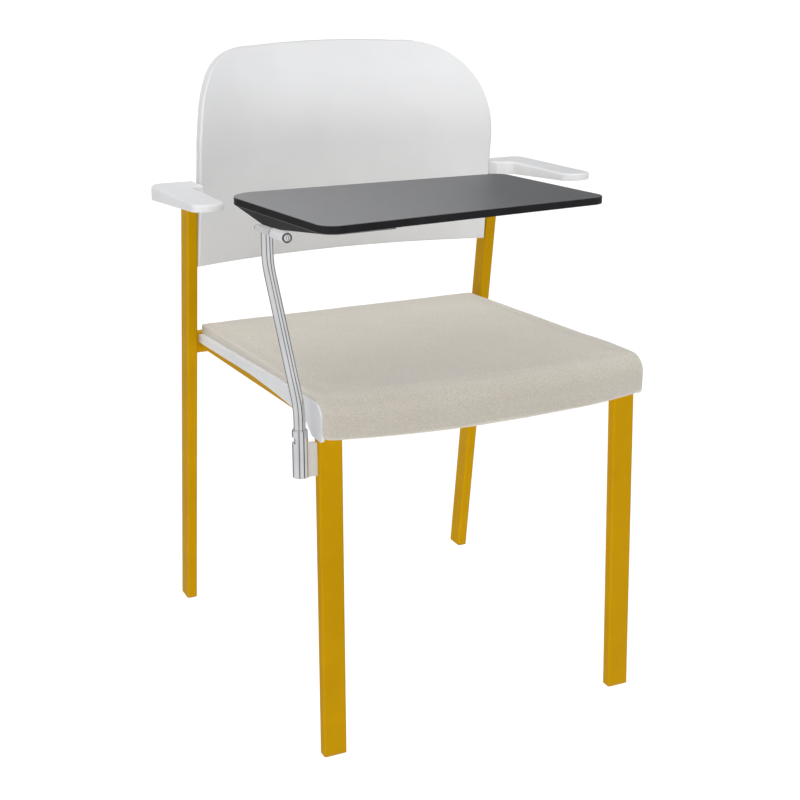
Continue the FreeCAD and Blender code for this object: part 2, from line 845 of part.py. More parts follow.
# rib grid: pockets between the ribs, up to the shell's floor under the pad
BAY_ROWS, BAY_COLUMNS = 3, 4
GRID_FRONT = -S.front_cross_y + S.tube_wide / 2 + PLAY * 2 + S.shell_rib
GRID_REAR = S.shell_rear - S.shell_rib
GRID_HALF = RAIL_X - S.tube_wide / 2 - PLAY - S.shell_rib
BAY_LONG = (GRID_REAR - GRID_FRONT + S.shell_rib) / BAY_ROWS
BAY_WIDE = (2 * GRID_HALF + S.shell_rib) / BAY_COLUMNS
for ROW in range(BAY_ROWS):
    START = GRID_FRONT + BAY_LONG * ROW
    STOP = START + BAY_LONG - S.shell_rib
    for COLUMN in range(BAY_COLUMNS):
        CENTRE = BAY_WIDE * (COLUMN + 0.5) - GRID_HALF - S.shell_rib / 2
        BAY = sketch(BODY, "YZ", CENTRE)
        outline(
            BAY,
            [
                (START, rail_mid(START) - S.overrun),
                (START, deck(START) - S.shell_floor),
                (STOP, deck(STOP) - S.shell_floor),
                (STOP, rail_mid(STOP) - S.overrun),
            ],
        )
        pocket(BODY, BAY, BAY_WIDE - S.shell_rib, middle=True)

# blind holes for the seat screws, over the holes in the rails
for SIDE in (-1, 1):
    FRAME = leg_frame(SIDE).multiply(BEND_FRAME)
    for LONG in RAIL_SCREWS:
        SPOT = FRAME.multVec(vec(0, -S.tube_deep / 2, LONG))
        HOLE = sketch(BODY, "XY", SPOT.z)
        disc(HOLE, SPOT.x, SPOT.y, S.screw_hole)
        pocket(BODY, HOLE, S.seat_screw_bite * 0.6, back=True)
place(node(BODY))

# Seat pad: a stuffed cushion. Its flat is lofted through upright sections with drawn-in
# sides and a crowned top; its nose is one section turned about the bow's axis.


def pad_section(y, half, high, crown, draw):
    """One closed upright section of the cushion's flat, standing on the deck."""
    y, half, high, crown, draw = float(y), float(half), float(high), float(crown), float(draw)
    foot = vec(0, y, deck(y))
    roll = float(S.pad_roll)

    def at(x, out):
        return foot + Z_AXIS * out + X_AXIS * x

    low = -float(S.pad_sink)
    belly = high * 0.42
    shoulder = high - min(roll * 0.8, high * 0.5)
    right = Part.Arc(at(half - draw, low), at(half, belly), at(half - draw * 0.25, shoulder))
    corner = Part.Arc(
        at(half - draw * 0.25, shoulder),
        at(half - roll * 0.36, high - (high - shoulder) * 0.22),
        at(half - roll, high),
    )
    top = Part.Arc(at(half - roll, high), at(0, high + crown), at(roll - half, high))
    corner_left = Part.Arc(
        at(roll - half, high),
        at(roll * 0.36 - half, high - (high - shoulder) * 0.22),
        at(draw * 0.25 - half, shoulder),
    )
    left = Part.Arc(at(draw * 0.25 - half, shoulder), at(-half, belly), at(draw - half, low))
    base = Part.LineSegment(at(draw - half, low), at(half - draw, low))
    return Part.Wire([c.toShape() for c in (right, corner, top, corner_left, left, base)])


def pad_high(y):
    """Thickness of the pad's side over the deck at a depth."""
    return S.pad_side + (tan(S.deck_slope) - tan(S.deck_slope - S.pad_fall)) * y


def swung(section, reach):
    """A face on the middle plane, turned both ways about the bow's axis."""
    foot = vec(0, *nose_point(S.nose_bow, 0))
    section.rotate(foot, DECK_UP, -reach)
    return section.revolve(foot, DECK_UP, reach * 2)


def rolled(spots):
    """A face on the middle plane through spots of (depth, height, radius), corners rounded."""
    corners = [vec(0, y, z) for y, z, radius in spots]
    edges, starts, stops, count = [], [], [], len(corners)
    for at, (y, z, radius) in enumerate(spots):
        before = (corners[at - 1] - corners[at]).normalize()
        after = (corners[(at + 1) % count] - corners[at]).normalize()
        half = before.getAngle(after) / 2
        reach = float(radius) / math.tan(half)
        starts.append(corners[at] + before * reach)
        stops.append(corners[at] + after * reach)
        if float(radius):
            away = float(radius) / math.sin(half) - float(radius)
            middle = corners[at] + (before + after).normalize() * away
            edges.append(Part.Arc(starts[at], middle, stops[at]).toShape())
    for at in range(count):
        edges.append(Part.makeLine(stops[at], starts[(at + 1) % count]))
    return Part.Face(Part.Wire(Part.sortEdges(edges)[0]))


FRONT_HALF = S.pad_half + S.pad_flare
SECTIONS = []
PAD_DEPTHS = [S.shell_rear, S.shell_rear * 0.6, S.shell_rear * 0.15]
PAD_DEPTHS += [-S.pad_flare_rear * 0.4, -S.pad_flare_rear, -S.pad_front * 0.88, -S.pad_front]
CROWN_SHARES = [0.04, 0.85, 1.0, 1.0, 0.55, 0.14, 0.02]
FLARE_SHARES = [0.0, 0.0, 0.0, 0.0, 0.15, 0.7, 1.0]
for Y, CROWN, FLARE in zip(PAD_DEPTHS, CROWN_SHARES, FLARE_SHARES):
    SECTIONS.append(
        pad_section(
            Y, S.pad_half + S.pad_flare * FLARE, pad_high(Y), S.pad_crown * CROWN, S.pad_draw
        )
    )
FLAT = Part.makeLoft(SECTIONS, True, False)

# the nose: wide roll above, narrow one below, its ends cut square and softened
FRONT_HIGH = pad_high(JOIN) * cos(S.deck_slope)
SWING = math.degrees(math.asin(float(FRONT_HALF) / float(S.nose_bow - BACK))) * 1.1
NOSE_SPOTS = [
    (BACK, FRONT_HIGH, 0),
    (0, FRONT_HIGH, S.nose_roll),
    (0, -S.nose_drop, S.nose_heel),
    (BACK, -S.nose_drop, 0),
]
FRONT = swung(rolled([(*nose_point(back, up), r) for back, up, r in NOSE_SPOTS]), SWING)
FORE = -S.nose_front - S.overrun
BASE = S.cheek_low - S.overrun
FRONT = FRONT.common(box(-FRONT_HALF, FORE, BASE, FRONT_HALF, JOIN, S.rear_leg_top))
RIMS = []
for EDGE in FRONT.Edges:
    LIMITS = EDGE.BoundBox
    ON_END = min(abs(LIMITS.XMin), abs(LIMITS.XMax)) > float(FRONT_HALF) - 0.01
    if ON_END and LIMITS.YMin < float(JOIN) - 0.01 and LIMITS.XLength < 0.01:
        RIMS.append(EDGE)
FRONT = FRONT.makeFillet(float(S.nose_side), RIMS)
PAD = FLAT.fuse(FRONT)

# the shell's form, with a hair's gap round its nose and cheeks, is cut out of the pad
HAIR = S.pad_hair
BEHIND = S.shell_rear + S.overrun
UNDER = rolled(
    [
        (BEHIND, BASE, 0),
        (BEHIND, deck(BEHIND), 0),
        (JOIN, deck(JOIN), 0),
        (JOIN, BASE, 0),
    ]
)
UNDER.translate(vec(-S.shell_half - S.overrun, 0, 0))
UNDER = UNDER.extrude(vec((S.shell_half + S.overrun) * 2, 0, 0))
CORE_SPOTS = [
    (BACK, 0, 0),
    (S.nose_wrap - HAIR, 0, S.nose_core + HAIR),
    (S.nose_wrap - HAIR, -S.nose_drop - S.overrun, 0),
    (BACK, -S.nose_drop - S.overrun, 0),
]
CORE_FORM = swung(rolled([(*nose_point(back, up), r) for back, up, r in CORE_SPOTS]), SWING)
CORE_HALF = S.shell_half - S.shell_side + HAIR
LIMIT = box(-CORE_HALF, FORE, BASE, CORE_HALF, JOIN + S.overrun, S.rear_leg_top)
CORE_FORM = CORE_FORM.common(LIMIT)
PAD = PAD.cut(UNDER)
PAD = PAD.cut(CORE_FORM)
for SIDE in (-1, 1):
    FLANK = rolled(
        [
            (-S.cheek_rear, BASE, 0),
            (-S.cheek_rear, deck(-S.cheek_rear), 0),
            (-S.cheek_front - HAIR, deck(-S.cheek_front - HAIR), S.cheek_round + HAIR),
            (-S.cheek_front - HAIR, BASE, 0),
        ]
    )
    FLANK.translate(vec(SIDE * (S.shell_half - S.shell_side - HAIR), 0, 0))
    PAD = PAD.cut(FLANK.extrude(vec(SIDE * S.overrun, 0, 0)))
PAD = max(PAD.Solids, key=lambda solid: solid.Volume)
shape_node("seat_pad", PAD)

# Back panel: the bowed section is swept up the back's profile, then trimmed to its outline

BODY = new_body("back_sheet")
BOW = sketch(BODY, "XY", S.back_low - S.overrun)
REACH = float(S.back_half_low + S.overrun)
LOW_Y = S.back_low_y + tan(S.rear_lean) * S.overrun


def bow_arc(radius):
    """An arc of the bow across the chair, round a centre in front of the panel."""
    middle = vec(0, LOW_Y - S.back_bow, 0)
    lean = math.asin(REACH / float(radius))
    circle = Part.Circle(middle, Z_AXIS, float(radius))
    return Part.ArcOfCircle(circle, math.pi / 2 - lean, math.pi / 2 + lean)


FRONT_ARC, REAR_ARC = bow_arc(S.back_bow), bow_arc(S.back_bow + S.back_thick)
BOW.addGeometry(FRONT_ARC, False)
BOW.addGeometry(REAR_ARC, False)
BOW.addGeometry(Part.LineSegment(FRONT_ARC.StartPoint, REAR_ARC.StartPoint), False)
BOW.addGeometry(Part.LineSegment(FRONT_ARC.EndPoint, REAR_ARC.EndPoint), False)
for GEO, END, OTHER, OTHER_END in ((0, 1, 2, 1), (1, 1, 2, 2), (0, 2, 3, 1), (1, 2, 3, 2)):
    BOW.addConstraint(Sketcher.Constraint("Coincident", GEO, END, OTHER, OTHER_END))
pin_down(BOW, 0, 3, 0, LOW_Y - S.back_bow)
pin_down(BOW, 1, 3, 0, LOW_Y - S.back_bow)

PATH = sketch(BODY, "YZ")
START = V(float(LOW_Y), float(S.back_low - S.overrun), 0)
BEND_Y = S.back_low_y - tan(S.rear_lean) * (S.back_bend_high - S.back_low)
BEND = V(float(BEND_Y), float(S.back_bend_high), 0)
PATH.addGeometry(Part.LineSegment(START, BEND), False)
BEND_HEART = BEND + V(float(S.back_bend * cos(S.rear_lean)), float(S.back_bend * sin(S.rear_lean)), 0)
FIRST = math.pi - math.radians(float(S.back_tip))
LAST = math.pi + math.radians(float(S.rear_lean))
ARC = Part.ArcOfCircle(Part.Circle(BEND_HEART, Z_AXIS, float(S.back_bend)), FIRST, LAST)
PATH.addGeometry(ARC, False)
TIP_LONG = float(S.back_top + S.back_crown + S.overrun * 4 - ARC.StartPoint.y) / float(cos(S.back_tip))
TIP_END = ARC.StartPoint + V(float(sin(S.back_tip)), float(cos(S.back_tip)), 0) * TIP_LONG
PATH.addGeometry(Part.LineSegment(ARC.StartPoint, TIP_END), False)
PATH.addConstraint(Sketcher.Constraint("Coincident", 0, 2, 1, 2))
PATH.addConstraint(Sketcher.Constraint("Coincident", 1, 1, 2, 1))
PIPE = BODY.newObject("PartDesign::AdditivePipe", "back_pipe")
PIPE.Profile = BOW
PIPE.Spine = (PATH, ["Edge1", "Edge2", "Edge3"])
DOC.recompute()

# front outline: straight sides that draw in a little, oval upper corners, a slight crown
HALF_LOW, HALF_HIGH = float(S.back_half_low), float(S.back_half_high)
CORNER_W, CORNER_H = float(S.back_corner_wide), float(S.back_corner_high)
SIDE_TOP = float(S.back_top) - CORNER_H
OVAL_POWER = 2.6
OVAL_STEPS = 8
OVAL = []
for STEP in range(OVAL_STEPS + 1):
    ANGLE = math.pi / 2 * STEP / OVAL_STEPS
    ACROSS = math.cos(ANGLE) ** (2 / OVAL_POWER) if STEP < OVAL_STEPS else 0
    UP = math.sin(ANGLE) ** (2 / OVAL_POWER)
    OVAL.append(V(HALF_HIGH - CORNER_W + CORNER_W * ACROSS, SIDE_TOP + CORNER_H * UP, 0))
RIGHT = Part.BSplineCurve()
RIGHT.interpolate(OVAL, InitialTangent=V(0, 1, 0), FinalTangent=V(-1, 0, 0))
LEFT = Part.BSplineCurve()
LEFT.interpolate(
    [V(-p.x, p.y, 0) for p in reversed(OVAL)], InitialTangent=V(-1, 0, 0), FinalTangent=V(0, -1, 0)
)
CROWN = Part.Arc(OVAL[-1], V(0, float(S.back_top + S.back_crown), 0), V(-OVAL[-1].x, OVAL[-1].y, 0))
FOOT_LEFT, FOOT_RIGHT = V(-HALF_LOW, float(S.back_low), 0), V(HALF_LOW, float(S.back_low), 0)
SILHOUETTE = [
    Part.LineSegment(FOOT_LEFT, FOOT_RIGHT),
    Part.LineSegment(FOOT_RIGHT, OVAL[0]),
    RIGHT,
    CROWN,
    LEFT,
    Part.LineSegment(V(-OVAL[0].x, OVAL[0].y, 0), FOOT_LEFT),
]
TO_FRONT = FreeCAD.Rotation(X_AXIS, 90)
FRONT_WIRE = Part.Wire([c.toShape() for c in SILHOUETTE])
FRONT_WIRE.Placement = FreeCAD.Placement(vec(0, S.foot_reach * 2, 0), TO_FRONT)
OUTLINE_SOLID = Part.Face(FRONT_WIRE).extrude(vec(0, -S.foot_reach * 4, 0))
PANEL = BODY.Shape.common(OUTLINE_SOLID)
PANEL = PANEL.Solids[0]
RIM = []
for EDGE in PANEL.Edges:
    if EDGE.Length > float(S.back_thick) * 1.4:
        RIM.append(EDGE)
PANEL = PANEL.makeFillet(float(S.back_edge), RIM)

# lugs on the rear legs behind the panel, and the screws that go through them into it
LUGS, LUG_SCREWS, LUG_HOLES = [], [], []
INNER_FACE = S.rear_foot_x - S.tube_deep / 2 - S.weld_gap
for SIDE in (-1, 1):
    for HIGH in (S.lug_low, S.lug_high):
        REAR_FACE = rear_leg_y(HIGH) + S.tube_wide / 2 - S.lug_inset
        LUG = box(
            SIDE * INNER_FACE,
            REAR_FACE - S.tube_wide * 0.45,
            HIGH - S.lug_tall / 2,
            SIDE * (INNER_FACE - S.lug_reach),
            REAR_FACE,
            HIGH + S.lug_tall / 2,
        )
        PIECES = LUG.cut(PANEL).Solids
        LUG = max(PIECES, key=lambda piece: piece.CenterOfMass.y)
        SEAT = vec(SIDE * (INNER_FACE - S.lug_reach * 0.6), REAR_FACE, HIGH)
        HEAD = rod(S.screw_head, S.screw_head_high, SEAT, Y_AXIS)
        DEEP = S.lug_reach * 0.7
        LUG_HOLES.append(rod(S.screw_shank, DEEP, SEAT, -Y_AXIS))
        LUG_SCREWS.append(HEAD.fuse(LUG_HOLES[-1]))
        LUGS.append(LUG)
LUG_TOOL = Part.makeCompound(LUG_HOLES)
shape_node("backrest_panel", PANEL.cut(LUG_TOOL))
shape_node("back_lugs", Part.makeCompound([lug.cut(LUG_TOOL) for lug in LUGS]))
shape_node("back_screws", Part.makeCompound(LUG_SCREWS))

# Armrests: raked plates with a tapering underside, hooked in behind to take the rear legs

BODY = new_body("armrest_right")


def arm_over(y):
    return S.arm_top - tan(S.arm_rake) * y


def arm_under(y):
    return S.arm_low - tan(S.arm_low_slope) * y


PROFILE = sketch(BODY, "YZ", S.arm_hook)
outline(
    PROFILE,
    [
        (S.arm_rear, arm_under(S.arm_rear)),
        (S.arm_rear, arm_over(S.arm_rear)),
        (-S.arm_front, arm_over(-S.arm_front)),
        (-S.arm_front, arm_under(-S.arm_front)),
    ],
)
pad(BODY, PROFILE, S.arm_half - S.arm_hook)
NOTCH = sketch(BODY, "XY", S.arm_low - S.tube_wide * 2)
rectangle(
    NOTCH,
    S.arm_hook - S.overrun,
    -S.arm_front - S.overrun,
    S.arm_inner,
    S.arm_hook_front,
)
pocket(BODY, NOTCH, S.tube_wide * 4, back=True)
soften(BODY, S.arm_front_round, lambda e: upright(e) and near(mid(e).y, -S.arm_front))
soften(
    BODY,
    S.arm_rear_round,
    lambda e: upright(e)
    and (near(mid(e).y, S.arm_rear) and near(mid(e).x, S.arm_half) or near(mid(e).x, S.arm_inner)),
)
soften(
    BODY,
    S.arm_edge,
    lambda e: not upright(e)
    and all(p.z > float(arm_over(p.y)) - 0.01 * float(S.arm_edge) for p in ends(e)),
)
SOCKET = sketch(BODY, "XY", S.glide_high)
PLAY = S.socket_play
LEG_Y = rear_leg_y(S.glide_high)
rectangle(
    SOCKET,
    S.rear_foot_x - S.tube_deep / 2 - PLAY,
    LEG_Y - S.tube_wide / 2 - PLAY,
    S.rear_foot_x + S.tube_deep / 2 + PLAY,
    LEG_Y + S.tube_wide / 2 + PLAY,
)
pocket(BODY, SOCKET, S.rear_leg_top - S.glide_high + PLAY, along=LEAN)
place(node(BODY))
mirrored(BODY, "armrest_left")

# Seat screws, up through the rails into the shell

SCREWS = []
for SIDE in (-1, 1):
    FRAME = leg_frame(SIDE).multiply(BEND_FRAME)
    for ALONG in RAIL_SCREWS:
        SEAT = vec(0, S.tube_deep / 2, ALONG)
        HEAD = rod(S.screw_head, S.screw_head_high, SEAT, Y_AXIS)
        SHANK = rod(S.screw_shank, S.tube_deep + S.seat_screw_bite * 0.5, SEAT, -Y_AXIS)
        SCREW = HEAD.fuse(SHANK)
        SCREW.Placement = FRAME
        SCREWS.append(SCREW)
shape_node("seat_screws", Part.makeCompound(SCREWS))

# Bracket block and sleeve on the left front leg

LEFT_LEG = leg_frame(-1)
SLEEVE_OUT = S.tube_wide / 2 + S.bracket_wide + S.sleeve_radius
RIM = (S.rim_high - S.glide_high) / cos(S.front_lean_back)
ARM_BASE = FreeCAD.Placement(vec(-SLEEVE_OUT, 0, RIM), turn(Z_AXIS, S.arm_turn))
ARM = LEFT_LEG.multiply(ARM_BASE)

BLOCK = DOC.addObject("Part::Box", "bracket_block")
BLOCK_LONG = S.bracket_wide + S.sleeve_radius * 0.6
for PROP, SIZE in (
    ("Length", BLOCK_LONG),
    ("Width", S.tube_deep),
    ("Height", S.bracket_tall),
    ("Placement.Base.x", -S.tube_wide / 2 - BLOCK_LONG),
    ("Placement.Base.y", -S.tube_deep / 2),
    ("Placement.Base.z", S.bracket_low - S.glide_high),
):
    bind(BLOCK, PROP, SIZE)
SADDLE = DOC.addObject("Part::Cylinder", "bracket_saddle")
for PROP, SIZE in (
    ("Radius", S.sleeve_radius),
    ("Height", S.bracket_tall + S.overrun * 2),
    ("Placement.Base.x", -SLEEVE_OUT),
    ("Placement.Base.z", S.bracket_low - S.glide_high - S.overrun),
):
    bind(SADDLE, PROP, SIZE)
HOLES = []
for NUMBER, HIGH in enumerate((S.bracket_screw_low, S.bracket_screw_high)):
    HOLE = DOC.addObject("Part::Cylinder", "bracket_hole_%d" % NUMBER)
    HOLE.Placement = FreeCAD.Placement(V(0, 0, 0), turn(Y_AXIS, -90))
    for PROP, SIZE in (
        ("Radius", S.screw_shank),
        ("Height", S.tube_wide / 2 + S.bracket_wide * 0.8),
        ("Placement.Base.z", S.bracket_low - S.glide_high + HIGH),
    ):
        bind(HOLE, PROP, SIZE)
    HOLES.append(HOLE)
TOOLS = DOC.addObject("Part::MultiFuse", "bracket_tools")
TOOLS.Shapes = [SADDLE] + HOLES
BRACKET = DOC.addObject("Part::Cut", "sleeve_bracket")
BRACKET.Base, BRACKET.Tool = BLOCK, TOOLS
DOC.recompute()
place(node(BRACKET), LEFT_LEG)

SCREWS = []
for HIGH in (S.bracket_screw_low, S.bracket_screw_high):
    SEAT = vec(S.tube_wide / 2, 0, S.bracket_low - S.glide_high + HIGH)
    SHANK = rod(S.screw_shank, S.tube_wide + S.bracket_wide * 0.8, SEAT, -X_AXIS)
    RECESS = rod(S.screw_shank / 2, S.screw_head_high, SEAT, -X_AXIS)
    SCREWS.append(SHANK.cut(RECESS))
shape_node("bracket_screws", Part.makeCompound(SCREWS), LEFT_LEG)


def slotted(body):
    """Cuts the locating slot, part of the way round."""
    before = body.Shape.Volume
    cut = sketch(body, "XZ")
    reach = S.sleeve_radius + S.overrun
    rectangle(cut, S.post_radius / 2, -S.slot_top - S.slot_high, reach, -S.slot_top)
    groove = body.newObject("PartDesign::Groove", body.Label + "_slot")
    groove.Profile = cut
    groove.ReferenceAxis = (cut, ["V_Axis"])
    groove.Angle = float(S.slot_sweep)
    bind(groove, "Angle", S.slot_sweep)
    cut.AttachmentOffset = FreeCAD.Placement(V(0, 0, 0), turn(Y_AXIS, S.slot_front - S.slot_sweep))
    DOC.recompute()
    if body.Shape.Volume >= before:
        raise RuntimeError("the slot of %s cuts nothing" % body.Label)


SLEEVE_LOW = S.sleeve_top - S.sleeve_long
BODY = new_body("arm_sleeve")
SECTION = sketch(BODY, "XY", SLEEVE_LOW)
disc(SECTION, 0, 0, S.sleeve_radius)
pad(BODY, SECTION, S.sleeve_long)
BORE = sketch(BODY, "XY", SLEEVE_LOW + S.sleeve_floor)
disc(BORE, 0, 0, S.sleeve_bore)
pocket(BODY, BORE, S.sleeve_long, back=True)
soften(
    BODY,
    S.sleeve_edge,
    lambda e: len(e.Vertexes) == 1
    and near(e.Curve.Radius, S.sleeve_radius)
    and (near(e.Curve.Center.z, S.sleeve_top) or near(e.Curve.Center.z, SLEEVE_LOW)),
)
slotted(BODY)
place(node(BODY), ARM)

BODY = new_body("sleeve_bush")
SECTION = sketch(BODY, "XY", SLEEVE_LOW + S.sleeve_floor)
ring(SECTION, S.sleeve_bore, S.post_radius + S.post_play)
pad(BODY, SECTION, S.sleeve_long - S.sleeve_floor + S.bush_lip)
slotted(BODY)
place(node(BODY), ARM)

# Post: a round bar with an S-bend, standing in the sleeve

BODY = new_body("arm_post")
POST_LOW = SLEEVE_LOW + S.sleeve_floor + S.carrier_gap
SECTION = sketch(BODY, "XY", POST_LOW)
disc(SECTION, 0, 0, S.post_radius)
PATH = sketch(BODY, "YZ")
BEND_RISE = S.post_bend * sin(S.post_slant)
BEND_SIDE = S.post_bend * (1 - cos(S.post_slant))
SLANT_SIDE = S.post_back - 2 * BEND_SIDE
SLANT_RISE = SLANT_SIDE / tan(S.post_slant)
P0, P1 = V(0, float(POST_LOW), 0), V(0, float(S.post_first), 0)
P2 = P1 + vec(BEND_SIDE, BEND_RISE, 0)
P3 = P2 + vec(SLANT_SIDE, SLANT_RISE, 0)
P4 = P3 + vec(BEND_SIDE, BEND_RISE, 0)
P5 = vec(S.post_back, S.post_top, 0)
SWEEP = math.radians(float(S.post_slant))
BEND_R = float(S.post_bend)
LOWER = Part.ArcOfCircle(Part.Circle(P1 + V(BEND_R, 0, 0), Z_AXIS, BEND_R), math.pi - SWEEP, math.pi)
UPPER = Part.ArcOfCircle(Part.Circle(P4 - V(BEND_R, 0, 0), Z_AXIS, BEND_R), -SWEEP, 0)
for PIECE in (
    Part.LineSegment(P0, P1),
    LOWER,
    Part.LineSegment(P2, P3),
    UPPER,
    Part.LineSegment(P4, P5),
):
    PATH.addGeometry(PIECE, False)
for GEO, END, OTHER, OTHER_END in ((0, 2, 1, 2), (1, 1, 2, 1), (2, 2, 3, 1), (3, 2, 4, 1)):
    PATH.addConstraint(Sketcher.Constraint("Coincident", GEO, END, OTHER, OTHER_END))
PIPE = BODY.newObject("PartDesign::AdditivePipe", "post_pipe")
PIPE.Profile = SECTION
PIPE.Spine = (PATH, ["Edge1", "Edge2", "Edge3", "Edge4", "Edge5"])
DOC.recompute()
place(node(BODY), ARM)
EXPECTED = math.pi * float(S.post_radius) ** 2 * sum(
    [P0.distanceToPoint(P1), P2.distanceToPoint(P3), P4.distanceToPoint(P5), 2 * BEND_R * SWEEP]
)
print("post volume %.1f, section times length %.1f" % (BODY.Shape.Volume, EXPECTED))

# stop pin of the post, at the slot's front end
PIN_HALF = math.degrees(math.asin(float(S.stop_pin) / float(S.post_radius)))
PIN_AT = float(S.slot_front) - PIN_HALF - float(S.stop_pin)
PIN_HIGH = -S.slot_top - S.slot_high / 2
WAY = vec(math.cos(math.radians(PIN_AT)), math.sin(math.radians(PIN_AT)), 0)
STOP = rod(S.stop_pin, S.stop_pin_reach, vec(0, 0, PIN_HIGH), WAY)
STOP = STOP.cut(rod(S.post_radius, S.tube_wide, vec(0, 0, PIN_HIGH - S.tube_wide / 2), Z_AXIS))
shape_node("stop_pin", STOP, ARM)

# Hinge under the tablet's left edge: its axis is parallel to that edge. Here x is counted
# from the sleeve's axis, y along the tablet's left edge.

EDGE_X = -S.tablet_out
EDGE_REAR = S.post_back + S.tablet_behind
HINGE_X = EDGE_X + S.hinge_in
HINGE_Z = S.tablet_top - S.hinge_down
BLOCK_LOW = S.tablet_top - S.tablet_thick - S.block_deep


def along(distance):
    """Place along the tablet's left edge, counted from its rear corner."""
    return EDGE_REAR - distance


def on_axis(distance):
    return vec(HINGE_X, along(distance), HINGE_Z)


CARRIER_TOP = BLOCK_LOW - S.carrier_gap
BARREL = HINGE_Z - S.post_top
CARRIER = rod(
    BARREL, S.carrier_front - S.carrier_rear, on_axis(S.carrier_front), Y_AXIS
)
PLATE = box(
    HINGE_X,
    along(S.carrier_front),
    S.post_top,
    HINGE_X + S.carrier_right,
    along(S.carrier_rear),
    CARRIER_TOP,
)
LOW_PLATE = box(
    HINGE_X - BARREL,
    along(S.carrier_front),
    S.post_top,
    HINGE_X,
    along(S.carrier_rear),
    HINGE_Z,
)
CARRIER = CARRIER.fuse([PLATE, LOW_PLATE]).removeSplitter()
PIN_FRONT = S.knuckle_front + S.washer_thick + S.carrier_gap
PIN_REAR = S.carrier_rear - S.clip_thick * 2
PIN = rod(S.pin_radius, PIN_FRONT - PIN_REAR, on_axis(PIN_FRONT), Y_AXIS)
CARRIER = CARRIER.cut(PIN)
shape_node("hinge_carrier", CARRIER, ARM)

DOME = Part.makeSphere(float(S.pin_head), on_axis(PIN_FRONT) + vec(0, S.pin_head - S.pin_head_high, 0))
KEEP = box(
    HINGE_X - S.pin_head * 2,
    along(PIN_FRONT),
    HINGE_Z - S.pin_head * 2,
    HINGE_X + S.pin_head * 2,
    along(PIN_FRONT) - S.pin_head * 2,
    HINGE_Z + S.pin_head * 2,
)
HEAD = DOME.common(KEEP)
shape_node("hinge_pin", PIN.fuse(HEAD), ARM)
CLIP = rod(S.clip_radius, S.clip_thick, on_axis(S.carrier_rear), Y_AXIS)
shape_node("hinge_clip", CLIP.cut(PIN), ARM)

# knuckle with its leaf, turning on the pin with the tablet
KNUCKLE = rod(
    S.knuckle_radius, S.knuckle_front - S.knuckle_rear, on_axis(S.knuckle_front), Y_AXIS
)
LOOSE_PIN = rod(
    S.pin_radius + S.pin_play,
    PIN_FRONT - PIN_REAR + S.overrun * 2,
    on_axis(PIN_FRONT + S.overrun),
    Y_AXIS,
)
shape_node("hinge_knuckle", KNUCKLE.cut(LOOSE_PIN), ARM)
WASHERS = []
for START in (S.knuckle_front + S.washer_thick, S.knuckle_rear):
    WASHER = rod(S.knuckle_radius, S.washer_thick, on_axis(START), Y_AXIS)
    WASHERS.append(WASHER.cut(LOOSE_PIN))
shape_node("hinge_washers", Part.makeCompound(WASHERS), ARM)

# tapered block: its top nearly fills the tablet's left edge, its foot sits over the hinge
TOP_Z = S.tablet_top - S.tablet_thick
FOOT_REAR, FOOT_FRONT = along(S.block_low_rear), along(S.block_low_front)
TOP_REAR, TOP_FRONT = along(S.block_inset), along(S.tablet_left - S.block_inset)
TOP_X, FOOT_X = EDGE_X + S.block_inset, EDGE_X + S.block_inset + S.block_slope_in


def level(z, x0, x1, y0, y1):
    """A closed rectangle at a height."""
    return Part.makePolygon(
        [vec(x0, y0, z), vec(x1, y0, z), vec(x1, y1, z), vec(x0, y1, z), vec(x0, y0, z)]
    )


RIM_Z = TOP_Z - S.block_joint
TOP_WIRE = level(RIM_Z, TOP_X, TOP_X + S.block_top_wide, TOP_FRONT, TOP_REAR)
FOOT_WIRE = level(BLOCK_LOW, FOOT_X, FOOT_X + S.block_low_wide, FOOT_FRONT, FOOT_REAR)
BLOCK = Part.makeLoft([FOOT_WIRE, TOP_WIRE], True, True)
SEAT = rod(
    S.knuckle_radius,
    S.knuckle_front - S.knuckle_rear + S.washer_thick * 2,
    on_axis(S.knuckle_front + S.washer_thick),
    Y_AXIS,
)
BLOCK = BLOCK.cut(SEAT)
SCREWS, HOLES = [], []
SCREW_X = FOOT_X + S.block_low_wide * 0.75
for PART_WAY in (0.25, 0.75):
    SPOT = vec(SCREW_X, FOOT_REAR + (FOOT_FRONT - FOOT_REAR) * PART_WAY, BLOCK_LOW)
    HOLES.append(rod(S.screw_shank, S.block_deep + S.tablet_thick * 0.6, SPOT, Z_AXIS))
    HEAD = rod(S.screw_head, S.screw_head_high, SPOT, -Z_AXIS)
    SCREWS.append(HEAD.fuse(HOLES[-1]))
HOLE_TOOL = Part.makeCompound(HOLES)
shape_node("tablet_support", BLOCK.cut(HOLE_TOOL), ARM)
shape_node("support_screws", Part.makeCompound(SCREWS), ARM)
# thin packing sheet between the block and the tablet
SHEET_WIRE = level(
    RIM_Z,
    TOP_X + S.block_inset,
    TOP_X + S.block_top_wide - S.block_inset,
    TOP_FRONT + S.block_inset,
    TOP_REAR - S.block_inset,
)
PACKING = Part.Face(SHEET_WIRE).extrude(vec(0, 0, S.block_joint))
shape_node("tablet_packing", PACKING.cut(HOLE_TOOL), ARM)

